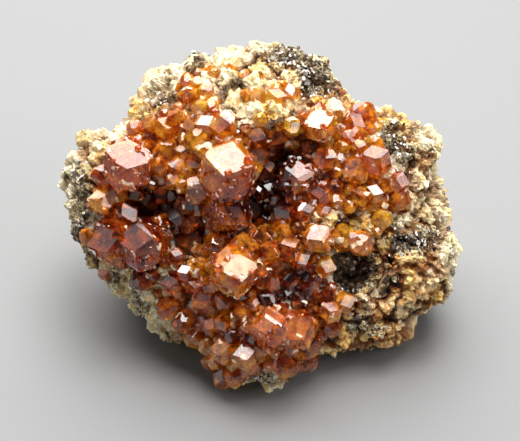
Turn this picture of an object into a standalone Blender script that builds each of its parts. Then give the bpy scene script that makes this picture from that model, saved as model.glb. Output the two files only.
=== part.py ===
"""Spessartine garnet druse.

A nodule of feldspar, quartz and mica with a hollowed front, lined with garnet crystals.
Everything is laid out in the frame of that front: u to the right, v up along the face and w out
of it. The empty "druse_face" carries the whole group and leans the face back, so that the nodule
stands on its sawn-flat underside at z = 0.

Garnets are cut from a block by the planes of the rhombic dodecahedron, and the bold ones also by
those of the trapezohedron, which cut off its edges. Each one has a lead facet, turned to a chosen
direction. Garnets that have
grown into each other are joined in one solid. The rock gets a socket for each garnet, a little
larger than the garnet.
"""

import math
import random

import bmesh
import bpy
from mathutils import Matrix, Vector, noise
from mathutils.bvhtree import BVHTree

MM = 0.001
CUT_MERGE = 1e-7          # points this near to a cut, in metres, lie on it

# ---- driving dimensions (mm and degrees) ----
FACE_RISE = 38.0          # how far the face's normal rises above the horizontal
BASE_DROP = 23.4          # from the face's centre straight down to the flat underside
FRONT_RISE = 12.0         # how far the middle of the front stands out from the rim
BACK_DEPTH = 29.0         # how far the back bulges behind the rim
FRONT_ROUNDNESS = 2.5     # exponents of the front's and the back's rounding
BACK_ROUNDNESS = 2.4
RIM_HOLD = 8              # exponent that keeps the hollows and swells off the rim
ROUGH_RISE = 1.0          # height of the broad lumps of the rock
ROUGH_LENGTH = 8.0        # distance from lump to lump
ROUGH_FALL = 0.9          # how fast the finer lumps fade
ROUGH_STEP = 2.0          # how much finer each layer of lumps is
ROUGH_LAYERS = 3
ROCK_SUBDIVISIONS = 4     # of the icosphere that the rock starts as
FINE_FRONT = 0.45         # the part of the icosphere above this height is divided once more
ABOVE_ALL = 100.0         # a height clear of the whole druse
SOCKET_GAP = 0.3          # clear space round a garnet in its socket
BLOCK_SIDE = 4            # side of the block that a garnet is cut from, in radii
ROOT_DEPTH = 0.45         # where a garnet's root is cut off below its centre, in radii
DODECAHEDRON_REACH = 0.84     # from a garnet's centre to the facets of each form, in radii
TRAPEZOHEDRON_REACH = 0.92
LEAD_DROP = 0.05          # how much nearer the lead facet is, which makes it larger, in radii
FACET_SPREAD = 0.06       # how unevenly a garnet's facets have grown, in radii
SMALLEST_CUT = 0.04       # a facet that would take off less than this, in radii, is left out

# ---- the rim of the front, as (u, v) round the face, in mm ----
RIM = [
    (38.6, -8.0), (37.2, -1.0), (35.9, 6.0), (34.9, 13.0), (31.5, 18.0), (26.0, 20.8),
    (19.5, 22.0), (15.0, 26.5), (9.5, 31.3), (3.0, 33.6), (-4.5, 33.2), (-11.5, 31.2),
    (-19.0, 28.6), (-25.0, 23.0), (-28.5, 17.5), (-34.0, 15.4), (-38.0, 10.0), (-39.3, 4.0),
    (-37.4, -2.5), (-34.2, -9.0), (-28.6, -15.6), (-22.5, -21.6), (-17.5, -24.6),
    (-12.8, -26.0), (-9.0, -31.0), (-2.0, -33.8), (4.0, -32.8), (7.6, -29.2), (11.0, -26.8),
    (20.0, -27.0), (27.2, -24.2), (31.0, -19.8), (36.4, -16.0),
]
# how far the rim stands out at an angle round the face, in degrees: (angle, w)
RIM_LEVELS = [(0, -1.0), (60, -4.0), (120, -4.0), (180, -2.0), (235, 0.0), (268, 6.0), (305, 0.0)]

# ---- broad hollows and swells of the front: (u, v, half width, half height, rise) in mm ----
RELIEF = [
    (-21.0, 1.2, 4.2, 3.2, -10.0),      # the left cavity
    (2.4, 9.6, 3.4, 4.0, -9.0),         # the cavity right of the centre pair
    (7.0, 13.0, 3.0, 2.0, -4.0),        # its upper end
    (-1.0, -0.5, 6.0, 3.6, -8.0),       # the hollow below the centre pair
    (-12.0, -4.6, 5.5, 2.6, -6.0),      # the gully from there to the left cavity
    (-6.5, 8.5, 5.5, 5.5, 3.0),         # the swell that carries the centre pair
    (-1.0, 18.5, 12.0, 3.6, 4.5),       # the ledge above it
    (-1.0, -20.0, 11.0, 7.5, 4.0),      # the apron that runs down to the toe
    (-5.0, -10.5, 6.0, 4.0, 2.5),       # the swell under the front garnet
    (-26.0, -5.0, 6.0, 6.0, 1.5),       # the swells under the left garnets
    (-25.5, 9.0, 5.5, 5.5, 1.5),
    (16.5, -10.5, 4.4, 4.4, -3.0),      # the mica hollow
    (7.0, -14.5, 4.0, 4.0, -3.0),       # the hollow below the right of the face
    (29.0, -10.0, 7.0, 9.0, 2.0),       # the right shoulder
    (-14.0, -19.5, 2.6, 4.5, -2.0),     # the gully left of the toe
]

# ---- the garnets: for each piece, a list of crystals ----
# (u, v, radius, stand, lead u, lead v, spin). Stand is how far the centre is above the rock, in
# radii. Lead u and v say which way the lead facet looks, as the slope to the right and up.
BOLD, PLAIN = "bold", "plain"           # both crystal forms, or the plain dodecahedron only
GARNETS = {
    "garnet_centre_pair": (BOLD, [
        (-6.3, 8.1, 5.9, 0.45, 0.08, 0.42, 20), (-6.6, 1.2, 5.1, 0.35, 0.20, 0.80, 70)]),
    "garnet_upper_left": (BOLD, [(-25.2, 9.2, 5.3, 0.35, -0.02, 0.62, 10)]),
    "garnet_left_rim": (PLAIN, [(-30.6, 2.5, 2.6, 0.25, -0.30, 0.90, 30)]),
    "garnet_lower_left_pair": (BOLD, [
        (-28.3, -5.0, 4.7, 0.30, -0.40, 0.10, 40), (-22.6, -5.6, 5.0, 0.35, -0.38, 0.36, 15)]),
    "garnet_front": (BOLD, [(-5.2, -10.4, 4.9, 0.45, 0.20, 0.12, 55)]),
    "garnet_front_twin": (BOLD, [
        (1.6, -21.2, 3.9, 0.35, -0.35, 0.20, 25), (6.1, -21.4, 4.2, 0.45, 0.08, 0.08, 80)]),
    "garnet_right_of_centre": (BOLD, [(6.2, 7.3, 3.7, 0.40, 0.26, 0.46, 35)]),
    "garnet_shelf_right": (BOLD, [(10.9, 17.0, 3.7, 0.35, -0.10, 0.44, 45)]),
    "garnet_glowing": (BOLD, [(11.9, 10.4, 2.5, 0.35, 0.30, 0.95, 5)]),
    "garnet_square_facet": (BOLD, [(10.3, -4.3, 3.0, 0.35, 0.05, 0.42, 60)]),
    "garnet_left_small": (PLAIN, [(-19.2, 4.0, 2.0, 0.30, -0.10, 0.15, 0)]),
    "group_left_inner": (PLAIN, [
        (-14.6, 1.9, 2.3, 0.30, 0.4, 0.95, 10), (-13.4, -1.1, 1.9, 0.30, 0.3, 0.10, 50),
        (-16.2, -0.2, 2.1, 0.30, -0.3, 0.50, 80)]),
    "group_upper_left": (PLAIN, [
        (-18.4, 16.2, 2.6, 0.25, 0.4, 0.90, 20), (-21.2, 17.2, 2.2, 0.20, -0.5, 0.30, 60),
        (-16.4, 18.2, 2.0, 0.20, 0.1, 0.05, 35)]),
    "group_left_middle": (PLAIN, [
        (-14.8, 11.6, 2.1, 0.25, -0.4, 0.95, 15), (-16.2, 9.0, 2.1, 0.25, 0.5, 0.20, 70)]),
    "group_ledge_left": (PLAIN, [
        (-7.0, 16.8, 2.7, 0.15, -0.4, 0.05, 25), (-10.8, 17.0, 2.1, 0.20, 0.0, 0.50, 60)]),
    "group_ledge_right": (BOLD, [
        (2.3, 14.8, 2.9, 0.20, 0.1, -0.10, 45), (-0.6, 14.9, 2.4, 0.20, -0.3, 0.10, 10),
        (5.6, 15.6, 1.4, 0.25, 0.0, 0.60, 30)]),
    "group_upper_right": (PLAIN, [
        (17.5, 17.5, 2.4, 0.25, 0.5, 0.30, 15), (16.3, 14.6, 1.7, 0.25, -0.5, 0.60, 50),
        (18.4, 15.2, 1.8, 0.25, 0.3, -0.10, 75), (20.4, 16.6, 1.5, 0.30, 0.6, 0.70, 20)]),
    "group_right": (BOLD, [
        (21.8, 10.2, 3.2, 0.30, -0.2, 0.90, 25), (17.7, 8.4, 2.9, 0.30, -0.35, 0.15, 65)]),
    "garnet_right_end": (PLAIN, [(26.0, 6.2, 2.0, 0.30, 0.5, 0.10, 40)]),
    "group_right_lower": (PLAIN, [
        (21.4, 4.0, 2.0, 0.30, 0.0, 0.50, 10), (18.4, 3.4, 2.0, 0.30, 0.5, 0.80, 50)]),
    "group_middle": (BOLD, [
        (4.7, 0.4, 3.0, 0.25, -0.1, 0.95, 30), (7.8, 0.9, 2.2, 0.25, 0.5, 0.20, 70)]),
    "group_middle_right": (PLAIN, [
        (11.3, 3.8, 2.1, 0.30, -0.4, 0.20, 20), (13.8, 5.2, 1.8, 0.30, 0.5, 0.90, 60)]),
    "garnet_cavity_edge": (PLAIN, [(1.2, 5.0, 1.4, 0.30, 0.2, 0.30, 25)]),
    "group_middle_lower": (PLAIN, [
        (1.4, -7.2, 2.4, 0.30, -0.1, 0.05, 15), (4.9, -6.4, 2.5, 0.30, 0.4, 0.95, 55),
        (7.2, -8.8, 1.9, 0.30, 0.5, 0.30, 80)]),
    "garnet_orange_right": (PLAIN, [(11.8, -9.8, 2.1, 0.35, 0.5, 0.05, 40)]),
    "garnet_round_front": (PLAIN, [(3.2, -13.8, 1.5, 0.35, 0.0, 0.20, 10)]),
    "garnet_dark_lower": (BOLD, [(7.8, -14.9, 3.2, 0.15, 0.1, 1.00, 30)]),
    "group_left_of_front": (PLAIN, [
        (-10.6, -16.4, 2.7, 0.30, -0.5, 0.10, 45), (-12.6, -14.0, 1.8, 0.25, 0.1, 0.90, 10)]),
    "garnet_bead": (PLAIN, [(-3.6, -17.9, 1.7, 0.35, 0.0, 0.15, 60)]),
    "group_apron_left": (PLAIN, [
        (-7.2, -20.4, 2.0, 0.30, 0.1, 0.95, 35), (-9.5, -21.0, 1.9, 0.30, -0.4, 0.20, 70)]),
    "group_toe_left": (PLAIN, [
        (-7.2, -25.4, 2.7, 0.20, -0.5, 0.30, 20), (-3.6, -26.4, 2.7, 0.25, 0.1, 0.42, 50)]),
    "group_toe_right": (PLAIN, [
        (4.3, -28.4, 2.5, 0.20, 0.2, 0.20, 35), (1.6, -27.8, 1.7, 0.20, -0.2, 0.30, 65)]),
    "group_lower_right": (PLAIN, [
        (12.8, -18.4, 2.4, 0.25, 0.3, 0.90, 15), (15.6, -16.6, 2.1, 0.20, 0.5, 0.20, 75)]),
    "group_lower_left": (PLAIN, [
        (-17.0, -12.8, 2.2, 0.25, -0.4, 0.15, 30), (-14.8, -11.0, 1.7, 0.25, 0.1, 0.60, 55)]),
    "garnet_small_red": (PLAIN, [(-16.0, -7.8, 1.6, 0.25, -0.2, 0.60, 5)]),
    "garnet_low_left": (PLAIN, [(-17.9, -17.6, 2.4, 0.25, -0.1, 0.30, 25)]),
    "garnet_yellow_left": (PLAIN, [(-30.4, -11.4, 1.4, 0.30, -0.3, 0.20, 45)]),
    "group_top": (PLAIN, [
        (2.6, 21.8, 2.3, 0.20, 0.3, 0.95, 15), (-0.6, 22.6, 1.8, 0.20, -0.4, 0.30, 50)]),
    "group_top_left": (PLAIN, [
        (-13.6, 22.8, 1.9, 0.25, -0.5, 0.30, 20), (-10.9, 23.6, 1.8, 0.25, 0.4, 0.90, 65)]),
}

# ---- finishes: name, linear base colour, roughness, metallic ----
ROCK_FINISH = ("feldspar_rock", (0.62, 0.50, 0.33), 0.85)
GARNET_FINISH = ("spessartine", (0.50, 0.10, 0.02), 0.08)

FACE_NORMAL_RISE = math.radians(FACE_RISE)
DOWN_IN_FACE = Vector((0.0, -math.cos(FACE_NORMAL_RISE), -math.sin(FACE_NORMAL_RISE)))


def clear_scene():
    for item in list(bpy.data.objects):
        bpy.data.objects.remove(item, do_unlink=True)


def new_collection(name):
    collection = bpy.data.collections.new(name)
    bpy.context.scene.collection.children.link(collection)
    return collection


def new_material(name, colour, roughness):
    material = bpy.data.materials.new(name)
    material.use_nodes = True
    shader = material.node_tree.nodes["Principled BSDF"]
    shader.inputs["Base Color"].default_value = (*colour, 1.0)
    shader.inputs["Roughness"].default_value = roughness
    shader.inputs["Metallic"].default_value = 0.0
    return material


def new_object(name, bm, collection, parent, material=None):
    mesh = bpy.data.meshes.new(name)
    bmesh.ops.recalc_face_normals(bm, faces=bm.faces)
    bm.to_mesh(mesh)
    bm.free()
    item = bpy.data.objects.new(name, mesh)
    collection.objects.link(item)
    item.parent = parent
    if material:
        mesh.materials.append(material)
    return item


# ---- the rock ----

def smooth_between(before, start, end, after, part):
    """A Catmull-Rom curve through four values, from start to end."""
    return 0.5 * (2 * start + (end - before) * part
                  + (2 * before - 5 * start + 4 * end - after) * part ** 2
                  + (3 * start - before - 3 * end + after) * part ** 3)


def round_curve(knots, angle):
    """The value at an angle on the smooth closed curve through (angle, value) knots."""
    knots = sorted(knots)
    count = len(knots)
    index = max((i for i in range(count) if knots[i][0] <= angle), default=-1)
    values = [knots[(index + step) % count][1] for step in (-1, 0, 1, 2)]
    start, end = knots[index % count][0], knots[(index + 1) % count][0]
    span = (end - start) % 360 or 360
    return smooth_between(*values, ((angle - start) % 360) / span)


def rim_knots():
    return [(math.degrees(math.atan2(v, u)) % 360, math.hypot(u, v)) for u, v in RIM]


def relief_at(u, v):
    """How far the hollows and swells push the front in or out."""
    total = 0.0
    for centre_u, centre_v, half_u, half_v, rise in RELIEF:
        spread = ((u - centre_u) / half_u) ** 2 + ((v - centre_v) / half_v) ** 2
        total += rise * math.exp(-spread)
    return total


def rock_point(direction, knots):
    """Where the icosphere's vertex in this direction lies on the rock, in the face's frame."""
    angle = math.degrees(math.atan2(direction.y, direction.x)) % 360
    reach = min(1.0, math.hypot(direction.x, direction.y))
    rim = round_curve(knots, angle)
    u = direction.x * rim
    v = direction.y * rim
    level = round_curve(RIM_LEVELS, angle) * reach ** 2
    if direction.z >= 0:
        dome = FRONT_RISE * (1 - reach ** FRONT_ROUNDNESS) ** (1 / FRONT_ROUNDNESS)
        w = level + dome + relief_at(u, v) * (1 - reach ** RIM_HOLD)
    else:
        w = level - BACK_DEPTH * (1 - reach ** BACK_ROUNDNESS) ** (1 / BACK_ROUNDNESS)
    point = Vector((u, v, w))
    lump = noise.fractal(point / ROUGH_LENGTH, ROUGH_FALL, ROUGH_STEP, ROUGH_LAYERS)
    return point + direction * lump * ROUGH_RISE


def make_rock(collection, parent, material):
    bm = bmesh.new()
    bmesh.ops.create_icosphere(bm, subdivisions=ROCK_SUBDIVISIONS, radius=1.0)
    front_edges = [edge for edge in bm.edges if min(vert.co.z for vert in edge.verts) > FINE_FRONT]
    bmesh.ops.subdivide_edges(bm, edges=front_edges, cuts=1, use_grid_fill=True)
    bmesh.ops.triangulate(bm, faces=bm.faces)
    knots = rim_knots()
    for vert in bm.verts:
        direction = vert.co.normalized()
        vert.co = rock_point(direction, knots) * MM
    underside = bmesh.ops.bisect_plane(
        bm, geom=bm.verts[:] + bm.edges[:] + bm.faces[:], dist=CUT_MERGE,
        plane_co=DOWN_IN_FACE * BASE_DROP * MM, plane_no=DOWN_IN_FACE, clear_outer=True)
    cut_edges = [item for item in underside["geom_cut"] if isinstance(item, bmesh.types.BMEdge)]
    bmesh.ops.contextual_create(bm, geom=cut_edges)
    return new_object("matrix", bm, collection, parent, material)


def rock_heights(rock):
    """A search tree of the rock, to find where its front surface is."""
    bm = bmesh.new()
    bm.from_mesh(rock.data)
    tree = BVHTree.FromBMesh(bm)
    bm.free()
    return tree


# ---- the garnets ----

def form_normals(form):
    """The face normals of a cubic crystal form, from one set of indices."""
    normals = set()
    for order in ((0, 1, 2), (1, 2, 0), (2, 0, 1), (0, 2, 1), (2, 1, 0), (1, 0, 2)):
        for signs in range(8):
            normals.add(tuple(form[order[axis]] * (-1 if signs >> axis & 1 else 1) for axis in range(3)))
    return [Vector(normal).normalized() for normal in sorted(normals, reverse=True)]


TRAPEZOHEDRON = form_normals((2, 1, 1))
DODECAHEDRON = form_normals((1, 1, 0))


def facet_planes(habit, seed):
    """The facets of one garnet as (normal, distance in radii), the lead facet first."""
    spread = random.Random(seed)
    forms = [(DODECAHEDRON, DODECAHEDRON_REACH)]
    if habit == BOLD:
        forms.append((TRAPEZOHEDRON, TRAPEZOHEDRON_REACH))
    planes = []
    for normals, distance in forms:
        for normal in normals:
            planes.append((normal, distance + spread.uniform(-FACET_SPREAD, FACET_SPREAD)))
    lead_normal, lead_distance = planes[0]
    planes[0] = (lead_normal, lead_distance - LEAD_DROP)
    return planes


def cut_off(bm, normal, distance):
    cut = bmesh.ops.bisect_plane(
        bm, geom=bm.verts[:] + bm.edges[:] + bm.faces[:], dist=CUT_MERGE,
        plane_co=normal * distance, plane_no=normal, clear_outer=True)
    edges = [item for item in cut["geom_cut"] if isinstance(item, bmesh.types.BMEdge)]
    if len(edges) > 2:
        bmesh.ops.contextual_create(bm, geom=edges)


def garnet_turn(lead_u, lead_v, spin):
    """The rotation that turns the lead facet to look along (lead_u, lead_v, 1)."""
    wanted = Vector((lead_u, lead_v, 1.0)).normalized()
    turn = DODECAHEDRON[0].rotation_difference(wanted).to_matrix()
    return Matrix.Rotation(math.radians(spin), 3, wanted) @ turn


def make_garnet(name, crystal, habit, grow, tree, collection, parent, material=None):
    """One garnet, cut facet by facet; grow moves every facet out, for a socket cutter."""
    u, v, radius, stand, lead_u, lead_v, spin = crystal
    ground = tree.ray_cast(Vector((u, v, ABOVE_ALL)) * MM, Vector((0, 0, -1)))[0]
    turn = garnet_turn(lead_u, lead_v, spin)
    size = radius * MM
    bm = bmesh.new()
    bmesh.ops.create_cube(bm, size=BLOCK_SIDE * size)
    root_normal = turn.inverted() @ Vector((0, 0, -1))
    planes = facet_planes(habit, f"{u} {v}") + [(root_normal, ROOT_DEPTH)]
    for normal, distance in planes:
        reach = max(vert.co.dot(normal) for vert in bm.verts)
        if reach - distance * size > SMALLEST_CUT * size:
            cut_off(bm, normal, distance * size)
    if grow:
        grow_facets(bm, grow * MM)
    item = new_object(name, bm, collection, parent, material)
    item.rotation_euler = turn.to_euler()
    item.location = ground + Vector((0, 0, stand * size))
    return item


def grow_facets(bm, amount):
    """Cut the same facets again, further out, so that the copy is larger all round."""
    bm.normal_update()
    planes = [(face.normal.copy(), face.normal.dot(face.verts[0].co)) for face in bm.faces]
    reach = max(vert.co.length for vert in bm.verts)
    bm.clear()
    bmesh.ops.create_cube(bm, size=BLOCK_SIDE * reach)
    for normal, distance in planes:
        cut_off(bm, normal, distance + amount)


def add_boolean(item, operation, operand_type, operand):
    modifier = item.modifiers.new(operation.lower(), "BOOLEAN")
    modifier.operation = operation
    modifier.solver = "EXACT"
    modifier.operand_type = operand_type
    if operand_type == "COLLECTION":
        modifier.collection = operand
    else:
        modifier.object = operand


def as_cutter(item):
    item.hide_render = True
    item.display_type = "WIRE"


def make_garnets(tree, druse, joined, sockets, parent, material):
    for name, (habit, crystals) in GARNETS.items():
        first = make_garnet(name, crystals[0], habit, 0, tree, druse, parent, material)
        for number, crystal in enumerate(crystals[1:], 2):
            other = make_garnet(f"{name}_{number}", crystal, habit, 0, tree, joined, parent)
            as_cutter(other)
            add_boolean(first, "UNION", "OBJECT", other)
        for number, crystal in enumerate(crystals, 1):
            socket = make_garnet(
                f"socket_{name}_{number}", crystal, habit, SOCKET_GAP, tree, sockets, parent)
            as_cutter(socket)


def centre_over_origin(druse, carrier):
    """Shift the carrier so that the whole druse stands centred on the origin."""
    bpy.context.view_layer.update()
    corners = [item.matrix_world @ vert.co for item in druse for vert in item.data.vertices]
    for axis in (0, 1):
        values = [corner[axis] for corner in corners]
        carrier.location[axis] -= (min(values) + max(values)) / 2
    bpy.context.view_layer.update()


def main():
    clear_scene()
    druse = new_collection("spessartine_garnet_druse")
    joined = new_collection("joined_garnets")
    sockets = new_collection("socket_cutters")
    carrier = bpy.data.objects.new("druse_face", None)
    druse.objects.link(carrier)
    carrier.location = (0.0, 0.0, BASE_DROP * MM)
    carrier.rotation_euler = (math.radians(90.0 - FACE_RISE), 0.0, 0.0)
    rock = make_rock(druse, carrier, new_material(*ROCK_FINISH))
    make_garnets(rock_heights(rock), druse, joined, sockets, carrier, new_material(*GARNET_FINISH))
    add_boolean(rock, "DIFFERENCE", "COLLECTION", sockets)
    centre_over_origin([item for item in druse.objects if item.type == "MESH"], carrier)


main()
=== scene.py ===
"""Looks of a spessartine garnet druse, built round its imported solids.

Run as a script. It makes the fine rock, the facetted garnets, the small garnets, grains and flakes
that are too many for solids, and the stage. Lengths in the lists below are in millimetres in the
frame of the druse's front: u to the right, v up along the face, w out of it.
"""

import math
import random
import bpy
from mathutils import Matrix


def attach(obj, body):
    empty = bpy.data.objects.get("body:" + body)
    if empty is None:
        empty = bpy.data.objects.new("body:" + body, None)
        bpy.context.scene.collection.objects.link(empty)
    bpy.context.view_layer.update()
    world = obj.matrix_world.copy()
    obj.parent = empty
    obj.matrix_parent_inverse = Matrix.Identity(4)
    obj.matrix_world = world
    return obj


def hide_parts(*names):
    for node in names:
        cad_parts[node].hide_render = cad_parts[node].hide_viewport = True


bl_info = {
    "name": "Garnet Druse",
    "version": (1, 0, 0),
    "blender": (4, 5, 0),
    "location": "View3D > Sidebar > Druse",
    "description": "Builds the rock, garnets, grains and stage of a spessartine garnet druse",
    "category": "Object",
}

import bmesh
import bpy
import numpy as np
from bpy.props import FloatProperty, FloatVectorProperty, IntProperty, PointerProperty
from mathutils import Vector, noise
from mathutils.bvhtree import BVHTree

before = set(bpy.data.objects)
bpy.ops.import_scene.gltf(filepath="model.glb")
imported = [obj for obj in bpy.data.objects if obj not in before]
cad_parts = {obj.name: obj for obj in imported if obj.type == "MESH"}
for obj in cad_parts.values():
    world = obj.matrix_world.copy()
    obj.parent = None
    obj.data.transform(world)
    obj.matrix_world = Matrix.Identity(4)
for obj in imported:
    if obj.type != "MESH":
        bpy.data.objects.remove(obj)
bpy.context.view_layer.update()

MM = 0.001
GARNET_NODES = sorted(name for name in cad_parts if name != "matrix")
SOCKET_GAP = 0.15 * MM          # between a garnet's back and the rock's socket
SOCKET_WIDTH = 0.92             # of a small garnet's radius
LARGE_GARNET = 4.5 * MM         # a garnet whose least side is longer is chipped and overgrown
CORNER_FACETS = 9               # cut on each large garnet
CORNER_CUT = (0.2, 0.5)         # how deep, in radii
EDGE_ANGLES = (20, 75)          # degrees between facets whose edge the second form cuts
EDGE_WIDTHS = (1.0, 0.7, 0.4, 0.15, 0.08)    # of its facets, as shares of the widest
DULL = 0.5                      # a facet frosted more than this keeps its corners
CHIP_PITCH = 1.3                # of the chips on the large garnets' broken parts, in mm
CHIP_DEPTH = 0.7                # of the deepest chips, in mm
SMALLEST_CUT = 0.04             # a facet that would take off less, in radii, is left out

# ---- the frame of the druse's front, as in the solids ----
FACE_RISE = math.radians(38.0)
FACE_CENTRE = np.array((0.484, -1.985, 23.4)) * MM
FACE_RIGHT = np.array((1.0, 0.0, 0.0))
FACE_UP = np.array((0.0, math.sin(FACE_RISE), math.cos(FACE_RISE)))
FACE_OUT = np.array((0.0, -math.cos(FACE_RISE), math.sin(FACE_RISE)))
FACE_AXES = np.array((FACE_RIGHT, FACE_UP, FACE_OUT))

# ---- the rock's shape in mm, as in the solids ----
FRONT_RISE = 12.0               # how far the middle of the front stands out from the rim
BACK_DEPTH = 29.0               # how far the back bulges behind the rim
FRONT_ROUNDNESS = 2.5           # exponents of the front's and the back's rounding
BACK_ROUNDNESS = 2.4
RIM_HOLD = 8                    # exponent that keeps the hollows and swells off the rim
ROUGH_RISE = 1.0                # height of the broad lumps of the rock
ROUGH_LENGTH = 8.0              # distance from lump to lump
ROUGH_FALL = 0.9                # how fast the finer lumps fade
ROUGH_STEP = 2.0                # how much finer each layer of lumps is
ROUGH_LAYERS = 3
RIM = [
    (38.6, -8.0), (37.2, -1.0), (35.9, 6.0), (34.9, 13.0), (31.5, 18.0), (26.0, 20.8),
    (19.5, 22.0), (15.0, 26.5), (9.5, 31.3), (3.0, 33.6), (-4.5, 33.2), (-11.5, 31.2),
    (-19.0, 28.6), (-25.0, 23.0), (-28.5, 17.5), (-34.0, 15.4), (-38.0, 10.0), (-39.3, 4.0),
    (-37.4, -2.5), (-34.2, -9.0), (-28.6, -15.6), (-22.5, -21.6), (-17.5, -24.6),
    (-12.8, -26.0), (-9.0, -31.0), (-2.0, -33.8), (4.0, -32.8), (7.6, -29.2), (11.0, -26.8),
    (20.0, -27.0), (27.2, -24.2), (31.0, -19.8), (36.4, -16.0),
]
RIM_LEVELS = [(0, -1.0), (60, -4.0), (120, -4.0), (180, -2.0), (235, 0.0), (268, 6.0), (305, 0.0)]
RELIEF = [
    (-21.0, 1.2, 4.2, 3.2, -10.0),      # the left cavity
    (2.4, 9.6, 3.4, 4.0, -9.0),         # the cavity right of the centre pair
    (7.0, 13.0, 3.0, 2.0, -4.0),        # its upper end
    (-1.0, -0.5, 6.0, 3.6, -8.0),       # the hollow below the centre pair
    (-12.0, -4.6, 5.5, 2.6, -6.0),      # the gully from there to the left cavity
    (-6.5, 8.5, 5.5, 5.5, 3.0),         # the swell that carries the centre pair
    (-1.0, 18.5, 12.0, 3.6, 4.5),       # the ledge above it
    (-1.0, -20.0, 11.0, 7.5, 4.0),      # the apron that runs down to the toe
    (-5.0, -10.5, 6.0, 4.0, 2.5),       # the swell under the front garnet
    (-26.0, -5.0, 6.0, 6.0, 1.5),       # the swells under the left garnets
    (-25.5, 9.0, 5.5, 5.5, 1.5),
    (16.5, -10.5, 4.4, 4.4, -3.0),      # the mica hollow
    (7.0, -14.5, 4.0, 4.0, -3.0),       # the hollow below the right of the face
    (29.0, -10.0, 7.0, 9.0, 2.0),       # the right shoulder
    (-14.0, -19.5, 2.6, 4.5, -2.0),     # the gully left of the toe
]

# ---- the rock's fine surface ----
FINE_FRONT = 0.08               # the icosphere above this height is divided once more
# how far each layer of roughness lifts the rock, in mm, or cuts into it with a minus, and how
# much it counts in the height that colours the rock, lighter on the tops as a painted highlight
# and darker in the pits as painted shade
ROUGHNESS = {
    "lump": (0.9, 0.3), "coarse": (0.25, 0.15), "fine": (0.1, 0.0), "cloud": (0.95, 0.7),
    "pit": (-0.8, -0.6), "groove": (-0.2, -0.1), "crack": (-0.08, 0.0),
}
CRUST_RISE = 1.2                # thickness of the pale crust over the garnets, in mm
FOOT_RELIEF = 0.2 * MM          # that the flat underside keeps
# what is sown: seeds tried, how close they sit in radii, random seed, and how deep they are sunk
# in radii, or stand out with a minus
SOWING = {
    "small_garnet": (9000, 0.64, 6, -0.2), "grain": (1800, 0.55, 4, 0.4),
    "flake": (4000, 0.55, 5, 0.4), "overgrowth": (500, 0.8, 8, 0.35),
}
SIZE_FALL = 1.4                 # above 1, more of the seeds tried are large
GRAIN_RADII = (0.75, 0.3)       # the largest and the smallest, in mm
FLAKE_RADII = (0.6, 0.25)
OVERGROWTH_RADII = (1.1, 0.35)
ROOM = 6 * MM                   # farther from the solid garnets, all places count as equally free

# ---- where the garnets grow, as an outline (u, v) round the face, in mm ----
GARNET_ZONE = [
    (26.5, 5.0), (26.5, 9.0), (23.0, 13.5), (21.5, 19.0), (14.0, 21.0), (8.0, 21.5),
    (5.0, 25.0), (0.0, 27.5), (-5.0, 28.8), (-12.0, 27.8), (-16.0, 25.5), (-16.5, 21.0),
    (-21.5, 18.0), (-28.0, 13.5), (-31.0, 8.0), (-33.0, 3.0), (-33.0, -4.0), (-30.5, -7.5),
    (-25.0, -10.5), (-21.0, -14.5), (-18.5, -19.0), (-15.5, -19.0), (-12.0, -14.0),
    (-10.5, -20.0), (-13.0, -24.5), (-9.8, -29.0), (-6.0, -31.5), (-3.0, -29.5), (0.0, -28.5),
    (5.0, -30.5), (8.0, -29.5), (9.0, -25.5), (14.0, -22.0), (14.5, -18.0), (11.0, -15.0),
    (12.5, -8.5), (20.5, -5.5), (23.5, -1.0),
]
# pale crust over the garnets, and the gaps in it, with a minus, that garnets look out of:
# (u, v, half width, half height, strength)
CRUST_PATCHES = [
    (-3.0, 19.6, 6.5, 3.2, 1.4), (4.5, 19.8, 3.5, 2.0, 0.9), (-1.0, 26.0, 9.0, 4.0, 1.2),
    (-11.5, 27.5, 6.0, 3.6, 1.0), (-17.5, 21.5, 3.0, 3.0, 0.8), (9.0, 21.6, 4.0, 1.8, 0.9),
    (-13.5, 26.3, 1.3, 1.0, -1.3), (-9.2, 27.0, 1.6, 1.0, -1.3), (-11.0, 24.2, 1.8, 1.3, -1.3),
    (-3.0, 27.6, 1.6, 1.2, -1.4), (-2.6, 23.2, 1.1, 1.0, -1.2), (1.6, 22.4, 2.0, 1.3, -1.4),
    (5.8, 24.0, 1.1, 1.2, -1.0), (-12.0, 18.8, 2.0, 2.2, -1.0), (-0.8, 17.8, 1.1, 1.6, -1.2),
    (15.5, -1.6, 4.8, 2.2, 1.5), (19.5, -0.4, 3.0, 1.6, 0.45), (21.5, -4.0, 2.5, 2.0, 0.8),
    (10.0, -0.5, 2.0, 1.2, 0.6),
    (-13.5, -8.6, 4.0, 1.5, 1.1), (-19.5, -15.0, 2.2, 3.2, 1.0), (-19.0, -10.0, 2.0, 2.0, 0.6),
    (-28.5, 12.0, 2.0, 2.4, 0.5), (24.0, 8.0, 1.6, 2.0, 0.7), (-3.0, -26.5, 2.0, 1.6, 0.5),
    (15.0, -6.0, 4.0, 1.2, 0.7), (-29.0, -8.0, 2.0, 2.0, 0.5), (-16.5, 14.0, 2.0, 1.6, 0.5),
]
# where the small garnets stay smallest: (u, v, half width, half height, strength)
FINE_PATCHES = [
    (-4.0, 27.0, 14.0, 8.0, 0.75), (18.0, 0.0, 6.0, 3.0, 0.5), (-18.0, -15.0, 6.0, 5.0, 0.4),
    (-30.0, -8.0, 4.0, 4.0, 0.5), (-27.0, 15.0, 5.0, 3.0, 0.5), (13.0, -20.0, 4.0, 4.0, 0.4),
    (-10.0, -28.0, 5.0, 4.0, 0.4), (-5.0, 18.5, 7.0, 3.0, 0.5), (-32.0, 0.5, 3.5, 6.0, 0.7),
]
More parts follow.
